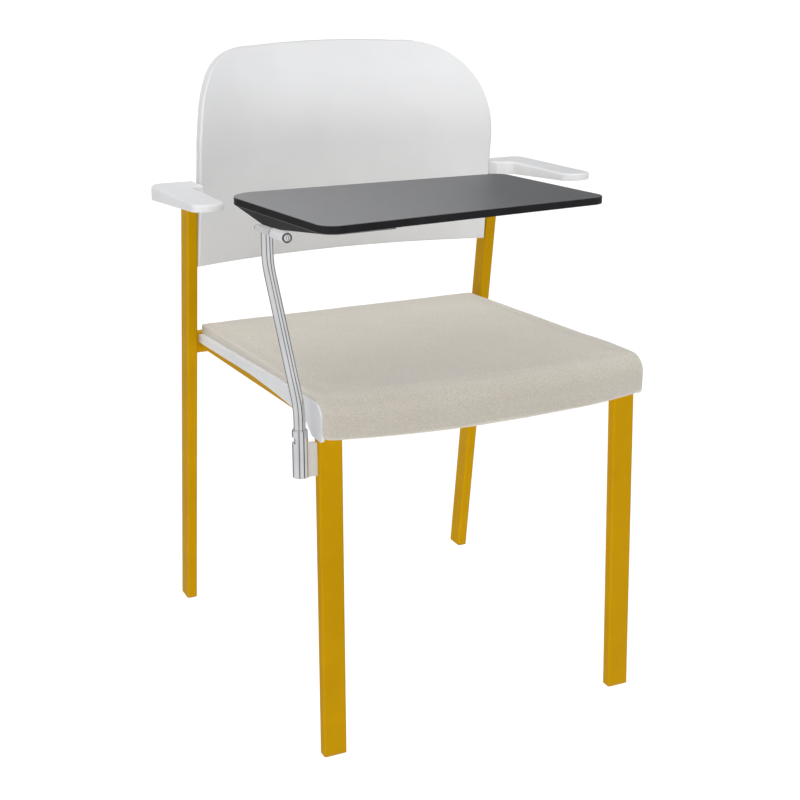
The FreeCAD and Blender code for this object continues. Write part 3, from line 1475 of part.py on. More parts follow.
# Tablet: a board in the shape of an isosceles trapezoid, lying square to the arm's axis
BODY = new_body("tablet_board")
BOARD = sketch(BODY, "XY", TOP_Z)
EDGE_MID = EDGE_REAR - S.tablet_left / 2
outline(
    BOARD,
    [
        (EDGE_X, EDGE_REAR - S.tablet_left),
        (EDGE_X + S.tablet_wide, EDGE_MID - S.tablet_right / 2),
        (EDGE_X + S.tablet_wide, EDGE_MID + S.tablet_right / 2),
        (EDGE_X, EDGE_REAR),
    ],
)
pad(BODY, BOARD, S.tablet_thick)
soften(BODY, S.tablet_corner, upright)
soften(BODY, S.tablet_edge, lambda e: all(near(p.z, S.tablet_top) for p in ends(e)))
HOLES = sketch(BODY, "XY", TOP_Z)
for PART_WAY in (0.25, 0.75):
    disc(HOLES, SCREW_X, FOOT_REAR + (FOOT_FRONT - FOOT_REAR) * PART_WAY, S.screw_shank)
pocket(BODY, HOLES, S.tablet_thick * 0.6, back=True)
place(node(BODY), ARM)

# Checks, then one file for each sub-part

DOC.recompute()
for OBJ in DOC.Objects:
    if "Invalid" in OBJ.State or "Error" in OBJ.State:
        raise RuntimeError("%s is in state %s" % (OBJ.Label, OBJ.State))
LABELS = [obj.Label for obj in NODES]
if len(set(LABELS)) != len(LABELS):
    raise RuntimeError("two sub-parts share a name")
os.makedirs("parts", exist_ok=True)
for OBJ in NODES:
    if OBJ.Shape.isNull() or not OBJ.Shape.isValid() or not OBJ.Shape.Solids:
        raise RuntimeError("%s has no valid solid" % OBJ.Label)
for OBJ in NODES:
    OBJ.Shape.exportStep("parts/%s.step" % OBJ.Label)
HINGE = SHIFT.multiply(ARM).multVec(on_axis(0))
AXIS = ARM.Rotation.multVec(V(0, -1, 0))
SWIVEL = SHIFT.multiply(ARM).Base
UP = ARM.Rotation.multVec(Z_AXIS)
print("flip axis through (%.3f, %.3f, %.3f) along (%.6f, %.6f, %.6f)" % (*HINGE, *AXIS))
print("swivel axis through (%.3f, %.3f, %.3f) along (%.6f, %.6f, %.6f)" % (*SWIVEL, *UP))
WHOLE = FreeCAD.BoundBox()
for OBJ in NODES:
    WHOLE.add(OBJ.Shape.BoundBox)
print("box %s" % WHOLE)
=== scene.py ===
import json
import math

import bmesh
import bpy
from mathutils import Matrix, Vector, noise


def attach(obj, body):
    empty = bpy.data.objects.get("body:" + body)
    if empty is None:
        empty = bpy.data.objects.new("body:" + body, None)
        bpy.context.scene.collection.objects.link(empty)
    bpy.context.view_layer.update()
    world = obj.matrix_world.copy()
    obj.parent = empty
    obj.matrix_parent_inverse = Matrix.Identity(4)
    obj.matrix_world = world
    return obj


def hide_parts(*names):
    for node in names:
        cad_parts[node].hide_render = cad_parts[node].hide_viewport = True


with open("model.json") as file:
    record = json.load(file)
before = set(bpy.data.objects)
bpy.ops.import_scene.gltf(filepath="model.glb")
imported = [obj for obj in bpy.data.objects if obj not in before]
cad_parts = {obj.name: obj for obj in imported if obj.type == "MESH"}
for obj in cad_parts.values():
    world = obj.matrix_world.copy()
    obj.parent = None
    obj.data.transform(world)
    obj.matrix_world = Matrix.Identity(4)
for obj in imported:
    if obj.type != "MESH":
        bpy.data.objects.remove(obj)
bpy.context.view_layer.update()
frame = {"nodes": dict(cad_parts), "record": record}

NODES = frame["nodes"]

# Material helpers


def material(name, colour, roughness, metallic=0.0):
    """A new node material. Returns it with its tree, shader and object coordinates."""
    made = bpy.data.materials.new(name)
    made.use_nodes = True
    tree = made.node_tree
    shader = tree.nodes["Principled BSDF"]
    shader.inputs["Base Color"].default_value = (*colour, 1)
    shader.inputs["Roughness"].default_value = roughness
    shader.inputs["Metallic"].default_value = metallic
    where = tree.nodes.new("ShaderNodeTexCoord").outputs["Object"]
    return made, tree, shader, where


def cloud(tree, where, scale, detail=2.0, rough=0.5):
    """Soft noise of a size, in cycles to the metre."""
    n = tree.nodes.new("ShaderNodeTexNoise")
    n.inputs["Scale"].default_value = scale
    n.inputs["Detail"].default_value = detail
    n.inputs["Roughness"].default_value = rough
    tree.links.new(where, n.inputs["Vector"])
    return n.outputs["Fac"]


def cells(tree, where, scale, smooth=0.4):
    """Rounded cells of a size, for grained plastic and crepe cloth."""
    n = tree.nodes.new("ShaderNodeTexVoronoi")
    n.feature = "SMOOTH_F1"
    n.inputs["Scale"].default_value = scale
    n.inputs["Smoothness"].default_value = smooth
    tree.links.new(where, n.inputs["Vector"])
    return n.outputs["Distance"]


def stretched(tree, where, scale):
    """The coordinates with each axis scaled, for drawn metal."""
    n = tree.nodes.new("ShaderNodeMapping")
    n.inputs["Scale"].default_value = scale
    tree.links.new(where, n.inputs["Vector"])
    return n.outputs["Vector"]


def span(tree, value, low, high, from_low=0.3, from_high=0.7):
    """A value spread over another range."""
    n = tree.nodes.new("ShaderNodeMapRange")
    for socket, number in zip(n.inputs[1:5], (from_low, from_high, low, high)):
        socket.default_value = number
    tree.links.new(value, n.inputs["Value"])
    return n.outputs["Result"]


def tint(tree, value, first, second, from_low=0.3, from_high=0.7):
    """A colour between two, by a value."""
    n = tree.nodes.new("ShaderNodeValToRGB")
    n.color_ramp.elements[0].position = from_low
    n.color_ramp.elements[1].position = from_high
    n.color_ramp.elements[0].color = (*first, 1)
    n.color_ramp.elements[1].color = (*second, 1)
    tree.links.new(value, n.inputs["Fac"])
    return n.outputs["Color"]


def sums(tree, first, second, share):
    """The first value plus a share of the second."""
    n = tree.nodes.new("ShaderNodeMath")
    n.operation = "MULTIPLY_ADD"
    n.inputs[1].default_value = share
    tree.links.new(second, n.inputs[0])
    tree.links.new(first, n.inputs[2])
    return n.outputs["Value"]


def mixed(tree, factor, first, second, blend="MIX"):
    """Two colours mixed by a factor. Each may be a node's output or a constant."""
    n = tree.nodes.new("ShaderNodeMix")
    n.data_type = "RGBA"
    n.blend_type = blend
    for name, value in (("Factor", factor), ("A", first), ("B", second)):
        if isinstance(value, bpy.types.NodeSocket):
            tree.links.new(value, n.inputs[name])
        else:
            n.inputs[name].default_value = value
    return n.outputs["Result"]


def bump(tree, shader, height, depth):
    """Relief in metres on a shader."""
    n = tree.nodes.new("ShaderNodeBump")
    n.inputs["Strength"].default_value = 1.0
    n.inputs["Distance"].default_value = depth
    tree.links.new(height, n.inputs["Height"])
    tree.links.new(n.outputs["Normal"], shader.inputs["Normal"])


def colour_of(tree, shader, colour):
    tree.links.new(colour, shader.inputs["Base Color"])


def roughness_of(tree, shader, value):
    tree.links.new(value, shader.inputs["Roughness"])


# The finishes


def powder_coat(name, deep, light, roughness=0.36):
    """Baked powder paint with a fine orange peel."""
    made, tree, shader, where = material(name, light, roughness)
    colour_of(tree, shader, tint(tree, cloud(tree, where, 18, 3), deep, light))
    fine = cloud(tree, where, 1500, 2)
    peel = cloud(tree, where, 420, 1)
    bump(tree, shader, sums(tree, peel, fine, 0.4), 0.00003)
    patch = cloud(tree, where, 60, 3)
    roughness_of(tree, shader, span(tree, patch, roughness - 0.05, roughness + 0.06))
    shader.inputs["Specular IOR Level"].default_value = 0.04
    return made


def moulded_plastic(name, deep, light, roughness=0.42, grain=900, gloss=0.4):
    """Plastic with an eroded mould texture and the faintest flow marks."""
    made, tree, shader, where = material(name, light, roughness)
    colour_of(tree, shader, tint(tree, cloud(tree, where, 9, 4, 0.6), deep, light))
    pits = cells(tree, where, grain)
    fine = cloud(tree, where, grain * 2.3, 2)
    bump(tree, shader, sums(tree, pits, fine, 0.5), 0.00004)
    patch = cloud(tree, where, 240, 2)
    roughness_of(tree, shader, span(tree, patch, roughness - 0.04, roughness + 0.05))
    shader.inputs["Specular IOR Level"].default_value = gloss
    return made


def polished_chrome(name, roughness=0.06):
    """Bright chrome over drawn tube, with hairlines along it."""
    made, tree, shader, where = material(name, (0.68, 0.685, 0.70), roughness, 1.0)
    lines = cloud(tree, stretched(tree, where, (2600, 2600, 30)), 1.0, 2)
    roughness_of(tree, shader, span(tree, lines, roughness * 0.7, roughness * 1.5))
    bump(tree, shader, lines, 0.000002)
    patch = cloud(tree, where, 30, 2)
    colour_of(tree, shader, tint(tree, patch, (0.65, 0.655, 0.67), (0.71, 0.715, 0.73)))
    return made


def zinc_steel(name):
    """Zinc-plated steel with a dull, spotted lustre."""
    made, tree, shader, where = material(name, (0.55, 0.55, 0.56), 0.32, 1.0)
    spots = cloud(tree, where, 300, 3)
    colour_of(tree, shader, tint(tree, spots, (0.42, 0.43, 0.45), (0.66, 0.66, 0.67)))
    roughness_of(tree, shader, span(tree, cloud(tree, where, 700, 3), 0.24, 0.42))
    bump(tree, shader, cloud(tree, where, 1800, 2), 0.00001)
    return made


def crepe_cloth(name):
    """A crepe weave: short crossed yarns in two tones, with a painted sheen: darker seen
    face-on, lighter seen along the surface.
    """
    made, tree, shader, where = material(name, (0.56, 0.53, 0.475), 0.9)
    yarn = cells(tree, where, 760, smooth=0.5)
    fibre = cloud(tree, where, 2600, 3, 0.6)
    patch = cloud(tree, where, 14, 3, 0.55)
    grain = sums(tree, yarn, fibre, 0.6)
    light = tint(tree, grain, (0.464, 0.434, 0.383), (0.612, 0.578, 0.516), 0.42, 0.92)
    worn = tint(tree, patch, (0.965, 0.96, 0.955), (1.0, 1.0, 1.0))
    woven = mixed(tree, 1.0, light, worn, "MULTIPLY")
    # painted sheen: the colour is darkened to about 0.84 of itself where the cloth is seen
    # face-on and kept whole where it is seen along the surface
    edge_on = tree.nodes.new("ShaderNodeLayerWeight").outputs["Facing"]
    painted_sheen = tint(tree, edge_on, (0.84, 0.83, 0.815), (1.0, 1.0, 1.0), 0.15, 0.55)
    colour_of(tree, shader, mixed(tree, 1.0, woven, painted_sheen, "MULTIPLY"))
    bump(tree, shader, grain, 0.00022)
    roughness_of(tree, shader, span(tree, fibre, 0.84, 0.96))
    shader.inputs["Sheen Weight"].default_value = 0.12
    shader.inputs["Sheen Roughness"].default_value = 0.45
    shader.inputs["Specular IOR Level"].default_value = 0.2
    return made


def satin_laminate(name):
    """Dark laminate: a satin top with a painted reflection that makes it lighter to the left,
    and a black edge.
    """
    made, tree, shader, where = material(name, (0.07, 0.071, 0.074), 0.3)
    places = tree.nodes["Texture Coordinate"].outputs
    flow = cloud(tree, where, 40, 4, 0.6)
    along = tree.nodes.new("ShaderNodeSeparateXYZ")
    tree.links.new(places["Generated"], along.inputs[0])
    # painted reflection: the top's colour is lighter towards the board's left end and darker to
    # the right
    painted_reflection_fade = sums(tree, along.outputs["X"], flow, 0.15)
    print_and_painted_reflection = tint(tree, painted_reflection_fade, (0.222, 0.224, 0.229), (0.120, 0.122, 0.128), 0.05, 0.80)
    rim = tint(tree, flow, (0.010, 0.010, 0.011), (0.016, 0.016, 0.018))
    facing_up = tree.nodes.new("ShaderNodeSeparateXYZ")
    tree.links.new(places["Normal"], facing_up.inputs[0])
    upper = span(tree, facing_up.outputs["Z"], 0, 1, 0.55, 0.8)
    colour_of(tree, shader, mixed(tree, upper, rim, print_and_painted_reflection))
    pearl = sums(tree, cells(tree, where, 1300), cloud(tree, where, 2600, 2), 0.5)
    bump(tree, shader, pearl, 0.00001)
    roughness_of(tree, shader, span(tree, cloud(tree, where, 500, 2), 0.34, 0.40))
    shader.inputs["Specular IOR Level"].default_value = 0.1
    return made


YELLOW = powder_coat("powder_coat_ochre", (0.450, 0.242, 0.0), (0.495, 0.266, 0.0001))
GLIDE = moulded_plastic("glide_polymer", (0.40, 0.215, 0.004), (0.445, 0.240, 0.006), 0.5, 700)
SHELL = moulded_plastic("shell_polymer", (0.66, 0.665, 0.68), (0.70, 0.705, 0.72), 0.4)
BACK = moulded_plastic("back_polymer", (0.664, 0.668, 0.677), (0.704, 0.708, 0.717), 0.45)
ARMS = moulded_plastic("arm_polymer", (0.69, 0.695, 0.705), (0.73, 0.735, 0.745), 0.4, 1100)
BRACKET = powder_coat("bracket_paint", (0.545, 0.532, 0.495), (0.585, 0.572, 0.53), 0.4)
CARRIER = powder_coat("carrier_paint", (0.50, 0.50, 0.51), (0.56, 0.56, 0.57), 0.35)
BLACK = moulded_plastic(
    "support_polymer", (0.012, 0.012, 0.013), (0.019, 0.019, 0.021), 0.6, 800, gloss=0.2)
# painted highlight: the packing is a lighter grey than the black support, so its thin proud
# edge shows as a light line along the board's joint
PAINTED_HIGHLIGHT_PACKING = moulded_plastic(
    "packing_painted_highlight", (0.12, 0.12, 0.125), (0.16, 0.16, 0.165), 0.6, 800, gloss=0.2)
KNUCKLE = powder_coat("knuckle_paint", (0.60, 0.60, 0.61), (0.66, 0.66, 0.67), 0.3)
CHROME = polished_chrome("bright_chrome")
BUSH = polished_chrome("bush_metal", 0.14)
ZINC = zinc_steel("zinc_screw")
CLOTH = crepe_cloth("crepe_cloth")
TABLE = satin_laminate("satin_laminate")

FINISH = {
    "frame_paint": YELLOW,
    "glide_plastic": GLIDE,
    "shell_plastic": SHELL,
    "seat_fabric": CLOTH,
    "screw_steel": ZINC,
    "back_plastic": BACK,
    "arm_plastic": ARMS,
    "bracket_grey": BRACKET,
    "arm_chrome": CHROME,
    "bush_steel": BUSH,
    "carrier_grey": CARRIER,
    "tablet_laminate": TABLE,
    "support_black": BLACK,
}
for row in frame["record"]["subparts"]:
    for place in NODES[row["node"]].material_slots:
        place.material = FINISH[row["material_slot"]]
for place in NODES["hinge_knuckle"].material_slots:
    place.material = KNUCKLE


# Mesh helpers


def linked(name, data):
    """A new object in the scene."""
    made = bpy.data.objects.new(name, data)
    bpy.context.scene.collection.objects.link(made)
    return made


def solid(name, points, faces):
    """A new object from points and faces, with its faces turned outwards."""
    mesh = bpy.data.meshes.new(name)
    mesh.from_pydata(points, [], faces)
    shaped = bmesh.new()
    shaped.from_mesh(mesh)
    bmesh.ops.recalc_face_normals(shaped, faces=shaped.faces)
    shaped.to_mesh(mesh)
    shaped.free()
    return linked(name, mesh)


def walls(rings, count):
    """The quads between closed rings of points."""
    faces = []
    for ring in range(rings - 1):
        for k in range(count):
            a, b = ring * count + k, ring * count + (k + 1) % count
            faces.append((a, b, b + count, a + count))
    return faces


def loft(name, rings):
    """A closed body through rings of points with the same count."""
    count = len(rings[0])
    last = (len(rings) - 1) * count
    caps = [tuple(range(count)), tuple(range(last, last + count))]
    points = [tuple(p) for ring in rings for p in ring]
    return solid(name, points, caps + walls(len(rings), count))


def applied(made):
    """The object with its modifiers applied."""
    bpy.context.view_layer.update()
    graph = bpy.context.evaluated_depsgraph_get()
    mesh = bpy.data.meshes.new_from_object(made.evaluated_get(graph))
    made.modifiers.clear()
    old, made.data = made.data, mesh
    bpy.data.meshes.remove(old)
    return made


def even(points, pitch):
    """A polyline spaced evenly, with its turns kept."""
    made = [points[0]]
    for first, last in zip(points, points[1:]):
        count = max(1, round(math.dist(first, last) / pitch))
        for k in range(1, count + 1):
            made.append(tuple(a + (b - a) * k / count for a, b in zip(first, last)))
    return made


def arc(centre, radius, start, stop, count):
    """Points of an arc, from the first angle to the last, in degrees."""
    turns = [math.radians(start + (stop - start) * k / count) for k in range(count + 1)]
    return [(centre[0] + radius * math.cos(a), centre[1] + radius * math.sin(a)) for a in turns]


# The upholstered seat pad

# Lengths in metres. The cushion is drawn in the deck's own directions: back from its
# foremost line along the deck, and up square to it.
DECK_TILT = math.radians(3.92)
FRONT_LINE = (-0.2668, 0.45777)
BOW_RADIUS = 0.892
BOW_FULL, BOW_NONE = 0.080, 0.300
CUSHION_REAR = 0.4924
NOSE_DROP = 0.0410
NOSE_ROLL = 0.027
NOSE_HEEL = 0.0070
NOSE_RAKE, RAKE_FROM, RAKE_REACH = 0.12, -0.004, 0.011
RIGHT_NIP, NIP_REACH = 0.010, 0.12
REAR_ROLL = 0.0028
CORE_BACK = 0.0124
CORE_ROLL = 0.0176
CORE_FACE = 0.0135
CORE_REAR = 0.008
CORE_SIDE = 0.0012
BED = 0.0003
CROWN_HIGH = 0.0045
COLUMNS = 76
REAR_PITCH, DECK_PITCH, FACE_PITCH = 0.004, 0.0062, 0.005
ROLL_STEPS, REAR_STEPS, HEEL_STEPS = 8, 3, 5
SIDE_TURNS = (22.5, 45, 67.5, 90)
GRIP = [0.1, 0.3, 0.6, 0.9]
END_HOLD = 0.9

# Places back from the foremost line, with the crown's share, the half width, the thickness
# and the roll of the side edge there
STATIONS = [
    (0.000, 0.00, 0.2168, 0.0096, 0.0100),
    (0.045, 0.00, 0.2168, 0.0096, 0.0070),
    (0.080, 0.02, 0.2168, 0.0096, 0.0042),
    (0.107, 0.14, 0.2157, 0.0100, 0.0036),
    (0.152, 0.55, 0.2136, 0.0105, 0.0034),
    (0.242, 1.00, 0.2130, 0.0117, 0.0032),
    (0.330, 1.00, 0.2130, 0.0129, 0.0032),
    (0.416, 0.85, 0.2130, 0.0140, 0.0032),
    (0.4924, 0.10, 0.2130, 0.0150, 0.0032),
]
SHARE, HALF, THICK, ROLL = 1, 2, 3, 4


def station(back, column):
    """A value of the stations at a place, in a straight line between them."""
    for here, after in zip(STATIONS, STATIONS[1:]):
        if back <= after[0]:
            share = max(0.0, (back - here[0]) / (after[0] - here[0]))
            return here[column] + (after[column] - here[column]) * share
    return STATIONS[-1][column]


def placed(x, back, up):
    """A point of the cushion in the part's frame: the bow sets the ends back."""
    sag = BOW_RADIUS - math.sqrt(BOW_RADIUS**2 - x * x)
    share = max(0.0, min(1.0, (BOW_NONE - back) / (BOW_NONE - BOW_FULL)))
    back += sag * share * share * (3 - 2 * share)
    if x > 0:
        x *= 1 - RIGHT_NIP * max(0.0, 1 - back / NIP_REACH)
    y = FRONT_LINE[0] + math.cos(DECK_TILT) * back + math.sin(DECK_TILT) * up
    z = FRONT_LINE[1] - math.sin(DECK_TILT) * back + math.cos(DECK_TILT) * up
    return Vector((x, y, z))


def raked(back, up):
    """A point of the nose, leant back below the place where its rake starts."""
    return back + NOSE_RAKE * max(0.0, RAKE_FROM - up) * (back < RAKE_REACH), up


def cushion_rows():
    """Pairs of outer and inner points on the middle plane, from the rear foot to the lip."""
    rear, thick, front = CUSHION_REAR, STATIONS[-1][THICK], STATIONS[0][THICK]
    outer = even([(rear, BED), (rear, thick - REAR_ROLL)], REAR_PITCH)
    outer += arc((rear - REAR_ROLL, thick - REAR_ROLL), REAR_ROLL, 0, 90, REAR_STEPS)[1:]
    inner = even([(rear - 0.002, BED), (rear - CORE_REAR, BED)], 0.006 / (len(outer) - 1))
    flat = even([(rear - REAR_ROLL, 0), (NOSE_ROLL, 0)], DECK_PITCH)[1:]
    outer += [(back, station(back, THICK)) for back, _ in flat]
    reach = (rear - CORE_REAR) - (CORE_BACK + CORE_ROLL)
    inner += [(rear - CORE_REAR - reach * (k + 1) / len(flat), BED) for k in range(len(flat))]
    outer += arc((NOSE_ROLL, front - NOSE_ROLL), NOSE_ROLL, 90, 180, ROLL_STEPS)[1:]
    inner += arc((CORE_BACK + CORE_ROLL, BED - CORE_ROLL), CORE_ROLL, 90, 180, ROLL_STEPS)[1:]
    face = even([(0, front - NOSE_ROLL), (0, NOSE_HEEL - NOSE_DROP)], FACE_PITCH)[1:]
    outer += face
    count = len(face)
    inner += [(CORE_BACK, BED - CORE_ROLL - CORE_FACE * (k + 1) / count) for k in range(count)]
    heel = arc((NOSE_HEEL, NOSE_HEEL - NOSE_DROP), NOSE_HEEL, 180, 270, HEEL_STEPS)[1:]
    outer += heel + [(CORE_BACK - 0.0004, -NOSE_DROP)]
    outer = [raked(*spot) for spot in outer]
    low = inner[-1][1]
    count = len(heel) + 1
    drop = NOSE_DROP + low - CORE_SIDE
    inner += [(CORE_BACK, low - drop * (k + 1) / count) for k in range(count)]
    return outer, inner


def cushion_ring(spot, core, out):
    """A ring of the cushion at a place, with each point's hold on the bed."""
    half, roll = station(spot[0], HALF), station(spot[0], ROLL)
    crown = CROWN_HIGH * station(spot[0], SHARE) * max(0.0, out[1])
    wide = half - roll
    across = [wide * (2 * k / COLUMNS - 1) for k in range(COLUMNS + 1)]
    turns = [math.radians(a) for a in SIDE_TURNS]
    top = [(x, 0.0) for x in across]
    right = [(wide + roll * math.sin(a), roll * (1 - math.cos(a))) for a in turns]
    left = [(-x, d) for x, d in reversed(right)]
    ring = []
    for x, deep in left + top + right:
        rise = crown * (1 - (x / half) ** 2)
        ring.append(placed(x, spot[0] - out[0] * deep, spot[1] - out[1] * deep + rise))
    first, last, free = ring[0], ring[-1], len(ring)
    inside = [placed(x * (half - CORE_SIDE) / wide, *core) for x in reversed(across)]
    steps = len(GRIP) + 1
    ring += [last.lerp(inside[0], k / steps) for k in range(1, steps)]
    ring += inside
    ring += [inside[-1].lerp(first, k / steps) for k in range(1, steps)]
    return ring, [0.0] * free + GRIP + [1.0] * len(inside) + GRIP[::-1]


def cushion():
    """A closed cushion of even quads. Returns the object and each vertex's hold."""
    outer, inner = cushion_rows()
    count = len(outer)
    rings, holds = [], []
    for i, (spot, core) in enumerate(zip(outer, inner)):
        before, after = outer[max(0, i - 1)], outer[min(count - 1, i + 1)]
        run = (after[0] - before[0], after[1] - before[1])
        size = math.hypot(*run)
        ring, firm = cushion_ring(spot, core, (run[1] / size, -run[0] / size))
        rings.append(ring)
        holds += firm if 0 < i < count - 1 else [max(END_HOLD, f) for f in firm]
    around = len(rings[0])
    faces = walls(count, around)
    for base, step in ((0, 1), ((count - 1) * around, -1)):
        for k in range(COLUMNS + 2 * len(SIDE_TURNS)):
            four = (k, k + 1, around - 2 - k, around - 1 - k)
            faces.append(tuple(base + v for v in four[::step]))
    points = [tuple(p) for ring in rings for p in ring]
    return solid("seat_cushion", points, faces), holds


SHRINK = 0.0005
FAR = 0.0016
PRESSURE = 4.0
STRETCH, SHEAR, BEND = 30, 12, 6
CLOTH_QUALITY = 5
CLOTH_FRAMES = 20
WAVE_HIGH = 0.0005
WIDE_WAVE, SMALL_WAVE, WAVE_SHIFT = 13, 37, Vector((3, 1, 7))

# The cushion starts a little small, is blown up by its foam and yields by a hair's breadth
pad, held = cushion()
start = [v.co.copy() for v in pad.data.vertices]
ways = [v.normal.copy() for v in pad.data.vertices]
pins = pad.vertex_groups.new(name="pins")
for v, way, hold in zip(pad.data.vertices, ways, held):
    v.co -= way * SHRINK * (1 - hold)
    pins.add([v.index], hold, "REPLACE")
cloth = pad.modifiers.new("cloth", "CLOTH")
cloth.settings.use_pressure = True
cloth.settings.uniform_pressure_force = PRESSURE
cloth.settings.vertex_group_mass = "pins"
cloth.settings.pin_stiffness = 1.0
cloth.settings.tension_stiffness = STRETCH
cloth.settings.compression_stiffness = STRETCH
cloth.settings.shear_stiffness = SHEAR
cloth.settings.bending_stiffness = BEND
cloth.settings.quality = CLOTH_QUALITY
cloth.settings.effector_weights.gravity = 0
cloth.point_cache.frame_start = 1
cloth.point_cache.frame_end = CLOTH_FRAMES
for step in range(1, CLOTH_FRAMES + 1):
    bpy.context.scene.frame_set(step)
applied(pad)
bpy.context.scene.frame_set(1)

for v, home, way, hold in zip(pad.data.vertices, start, ways, held):
    rise = max(-SHRINK, min(FAR, (v.co - home).dot(way)))
    wave = noise.noise(home * WIDE_WAVE) + 0.5 * noise.noise(home * SMALL_WAVE + WAVE_SHIFT)
    v.co = home + way * (rise + wave * WAVE_HIGH) * (1 - hold)
smooth = pad.modifiers.new("round", "SUBSURF")
smooth.levels = smooth.render_levels = 1
applied(pad)
for face in pad.data.polygons:
    face.use_smooth = True
pad.data.materials.append(CLOTH)
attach(pad, "chair")
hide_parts("seat_pad")


# Armrests: plates with round ends, softened edges and a hook that takes the rear leg

ARM_TOP, ARM_RAKE = 0.6486, 0.02898
ARM_LOW, ARM_LOW_RAKE = 0.63946, 0.08555
# Each corner's place across and back, its round in plan and its upper edge's round
ARM_PLAN = [
    (0.2820, 0.2136, 0.018, 0.0050),
    (0.2195, 0.2136, 0.004, 0.0060),
    (0.2195, 0.1630, 0.003, 0.0030),
    (0.2395, 0.1630, 0.012, 0.0030),
    (0.2400, 0.0075, 0.020, 0.0030),
    (0.2820, 0.0075, 0.019, 0.0030),
]
ARM_FOOT_ROUND = 0.0015
ARM_CORNER_STEPS = 9
ARM_EDGE_TURNS = (0, 18, 36, 54, 72, 90)
# The photograph shows the right armrest a little further out than the left one
HOOK_SIDE = 0.23
FURTHER_OUT = {"right": 0.0024, "left": -0.0006}


def rounded_plan(corners, steps):
    """Points, outward normals and edge rounds of a closed plan with rounded corners."""
    made, count = [], len(corners)
    for k, (x, y, radius, edge) in enumerate(corners):
        here = Vector((x, y))
        before = (Vector(corners[k - 1][:2]) - here).normalized()
        after = (Vector(corners[(k + 1) % count][:2]) - here).normalized()
        half = before.angle(after) / 2
        centre = here + (before + after).normalized() * (radius / math.sin(half))
        start = here + before * (radius / math.tan(half)) - centre
        sweep = math.pi - 2 * half
        sign = 1 if before.cross(after) < 0 else -1
        for step in range(steps + 1):
            way = start.copy()
            way.rotate(Matrix.Rotation(sign * sweep * step / steps, 2))
            made.append((centre + way, way.normalized() * sign, edge))
        next_edge = corners[(k + 1) % count][3]
        if edge != next_edge:
            made[-1] = (*made[-1][:2], (edge + next_edge) / 2)
    return made


def armrest(name, side, further):
    """A plate between two sloping faces; side mirrors it across the chair."""
    corners = [(x + (further if x > HOOK_SIDE else 0), *others) for x, *others in ARM_PLAN]
    plan = rounded_plan(corners, ARM_CORNER_STEPS)
    rings = []
    foot = ARM_FOOT_ROUND
    for inset, lift in ((foot, 0.0), (foot * 0.3, foot * 0.3), (0.0, foot)):
        ring = []
        for spot, out, _ in plan:
            p = spot - out * inset
            ring.append((p.x * side, p.y, ARM_LOW - ARM_LOW_RAKE * p.y + lift))
        rings.append(ring)
    for a in map(math.radians, ARM_EDGE_TURNS):
        ring = []
        for spot, out, edge in plan:
            p = spot - out * (edge * (1 - math.cos(a)))
            high = ARM_TOP - ARM_RAKE * p.y
            ring.append((p.x * side, p.y, high - edge * (1 - math.sin(a))))
        rings.append(ring)
    made = loft(name, rings)
    for face in made.data.polygons:
        face.use_smooth = len(face.vertices) == 4
    return made


for side, name in ((1, "right"), (-1, "left")):
    rest = armrest("arm_" + name, side, FURTHER_OUT[name])
    rest.data.materials.append(ARMS)
    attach(rest, "chair")
    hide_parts("armrest_" + name)


# The writing board with the packing and the tapered support under it

# They are drawn in the arm's own directions from the corner of the board's underside:
# across the board, back along its left edge, and up
ACROSS = Vector((0.996549, 0.081905, -0.013491))
ALONG = Vector((-0.082254, 0.996224, -0.027780))
UPRIGHT = Vector((0.011165, 0.028794, 0.999523))
BOARD_CORNER = Vector((-0.261962, -0.040773, 0.660695))
BOARD_PLAN = [(0.0, 0.0), (0.0, -0.2649), (0.381, -0.2456), (0.381, -0.0193)]
BOARD_ROUNDS = (0.037, 0.020, 0.020, 0.020)
BOARD_THICK, BOARD_EDGE = 0.009, 0.0012
BOARD_EDGE_TURNS = (0, 30, 60, 90)
SUPPORT_TOP = [(0.002, -0.002), (0.002, -0.2629), (0.086, -0.2629), (0.086, -0.002)]
SUPPORT_FOOT = [(0.016, -0.072), (0.016, -0.116), (0.072, -0.116), (0.072, -0.072)]
SUPPORT_ROUNDS = (0.035, 0.018, 0.001, 0.001)
SUPPORT_DEEP = 0.018
FOOT_ROUND = 0.0012
JOINT = 0.0008
PACKING_PROUD = 0.0003
CORNER_STEPS = 14


def board_plan(corners, rounds, edge=0):
    """The rounded plan of a piece of the board."""
    return rounded_plan(
        [(*spot, radius, edge) for spot, radius in zip(corners, rounds)], CORNER_STEPS)


def ring_at(plan, height, inset=0.0):
    """A plan's ring of points at a height, moved inwards."""
    return [(*(spot - out * inset), height) for spot, out, _ in plan]


def on_arm(name, rings):
    """A closed body through rings, moved from the arm's directions to the part's frame."""
    made = loft(name, rings)
    turn = Matrix((ACROSS, ALONG, UPRIGHT)).transposed().to_4x4()
    made.data.transform(Matrix.Translation(BOARD_CORNER) @ turn)
    return made


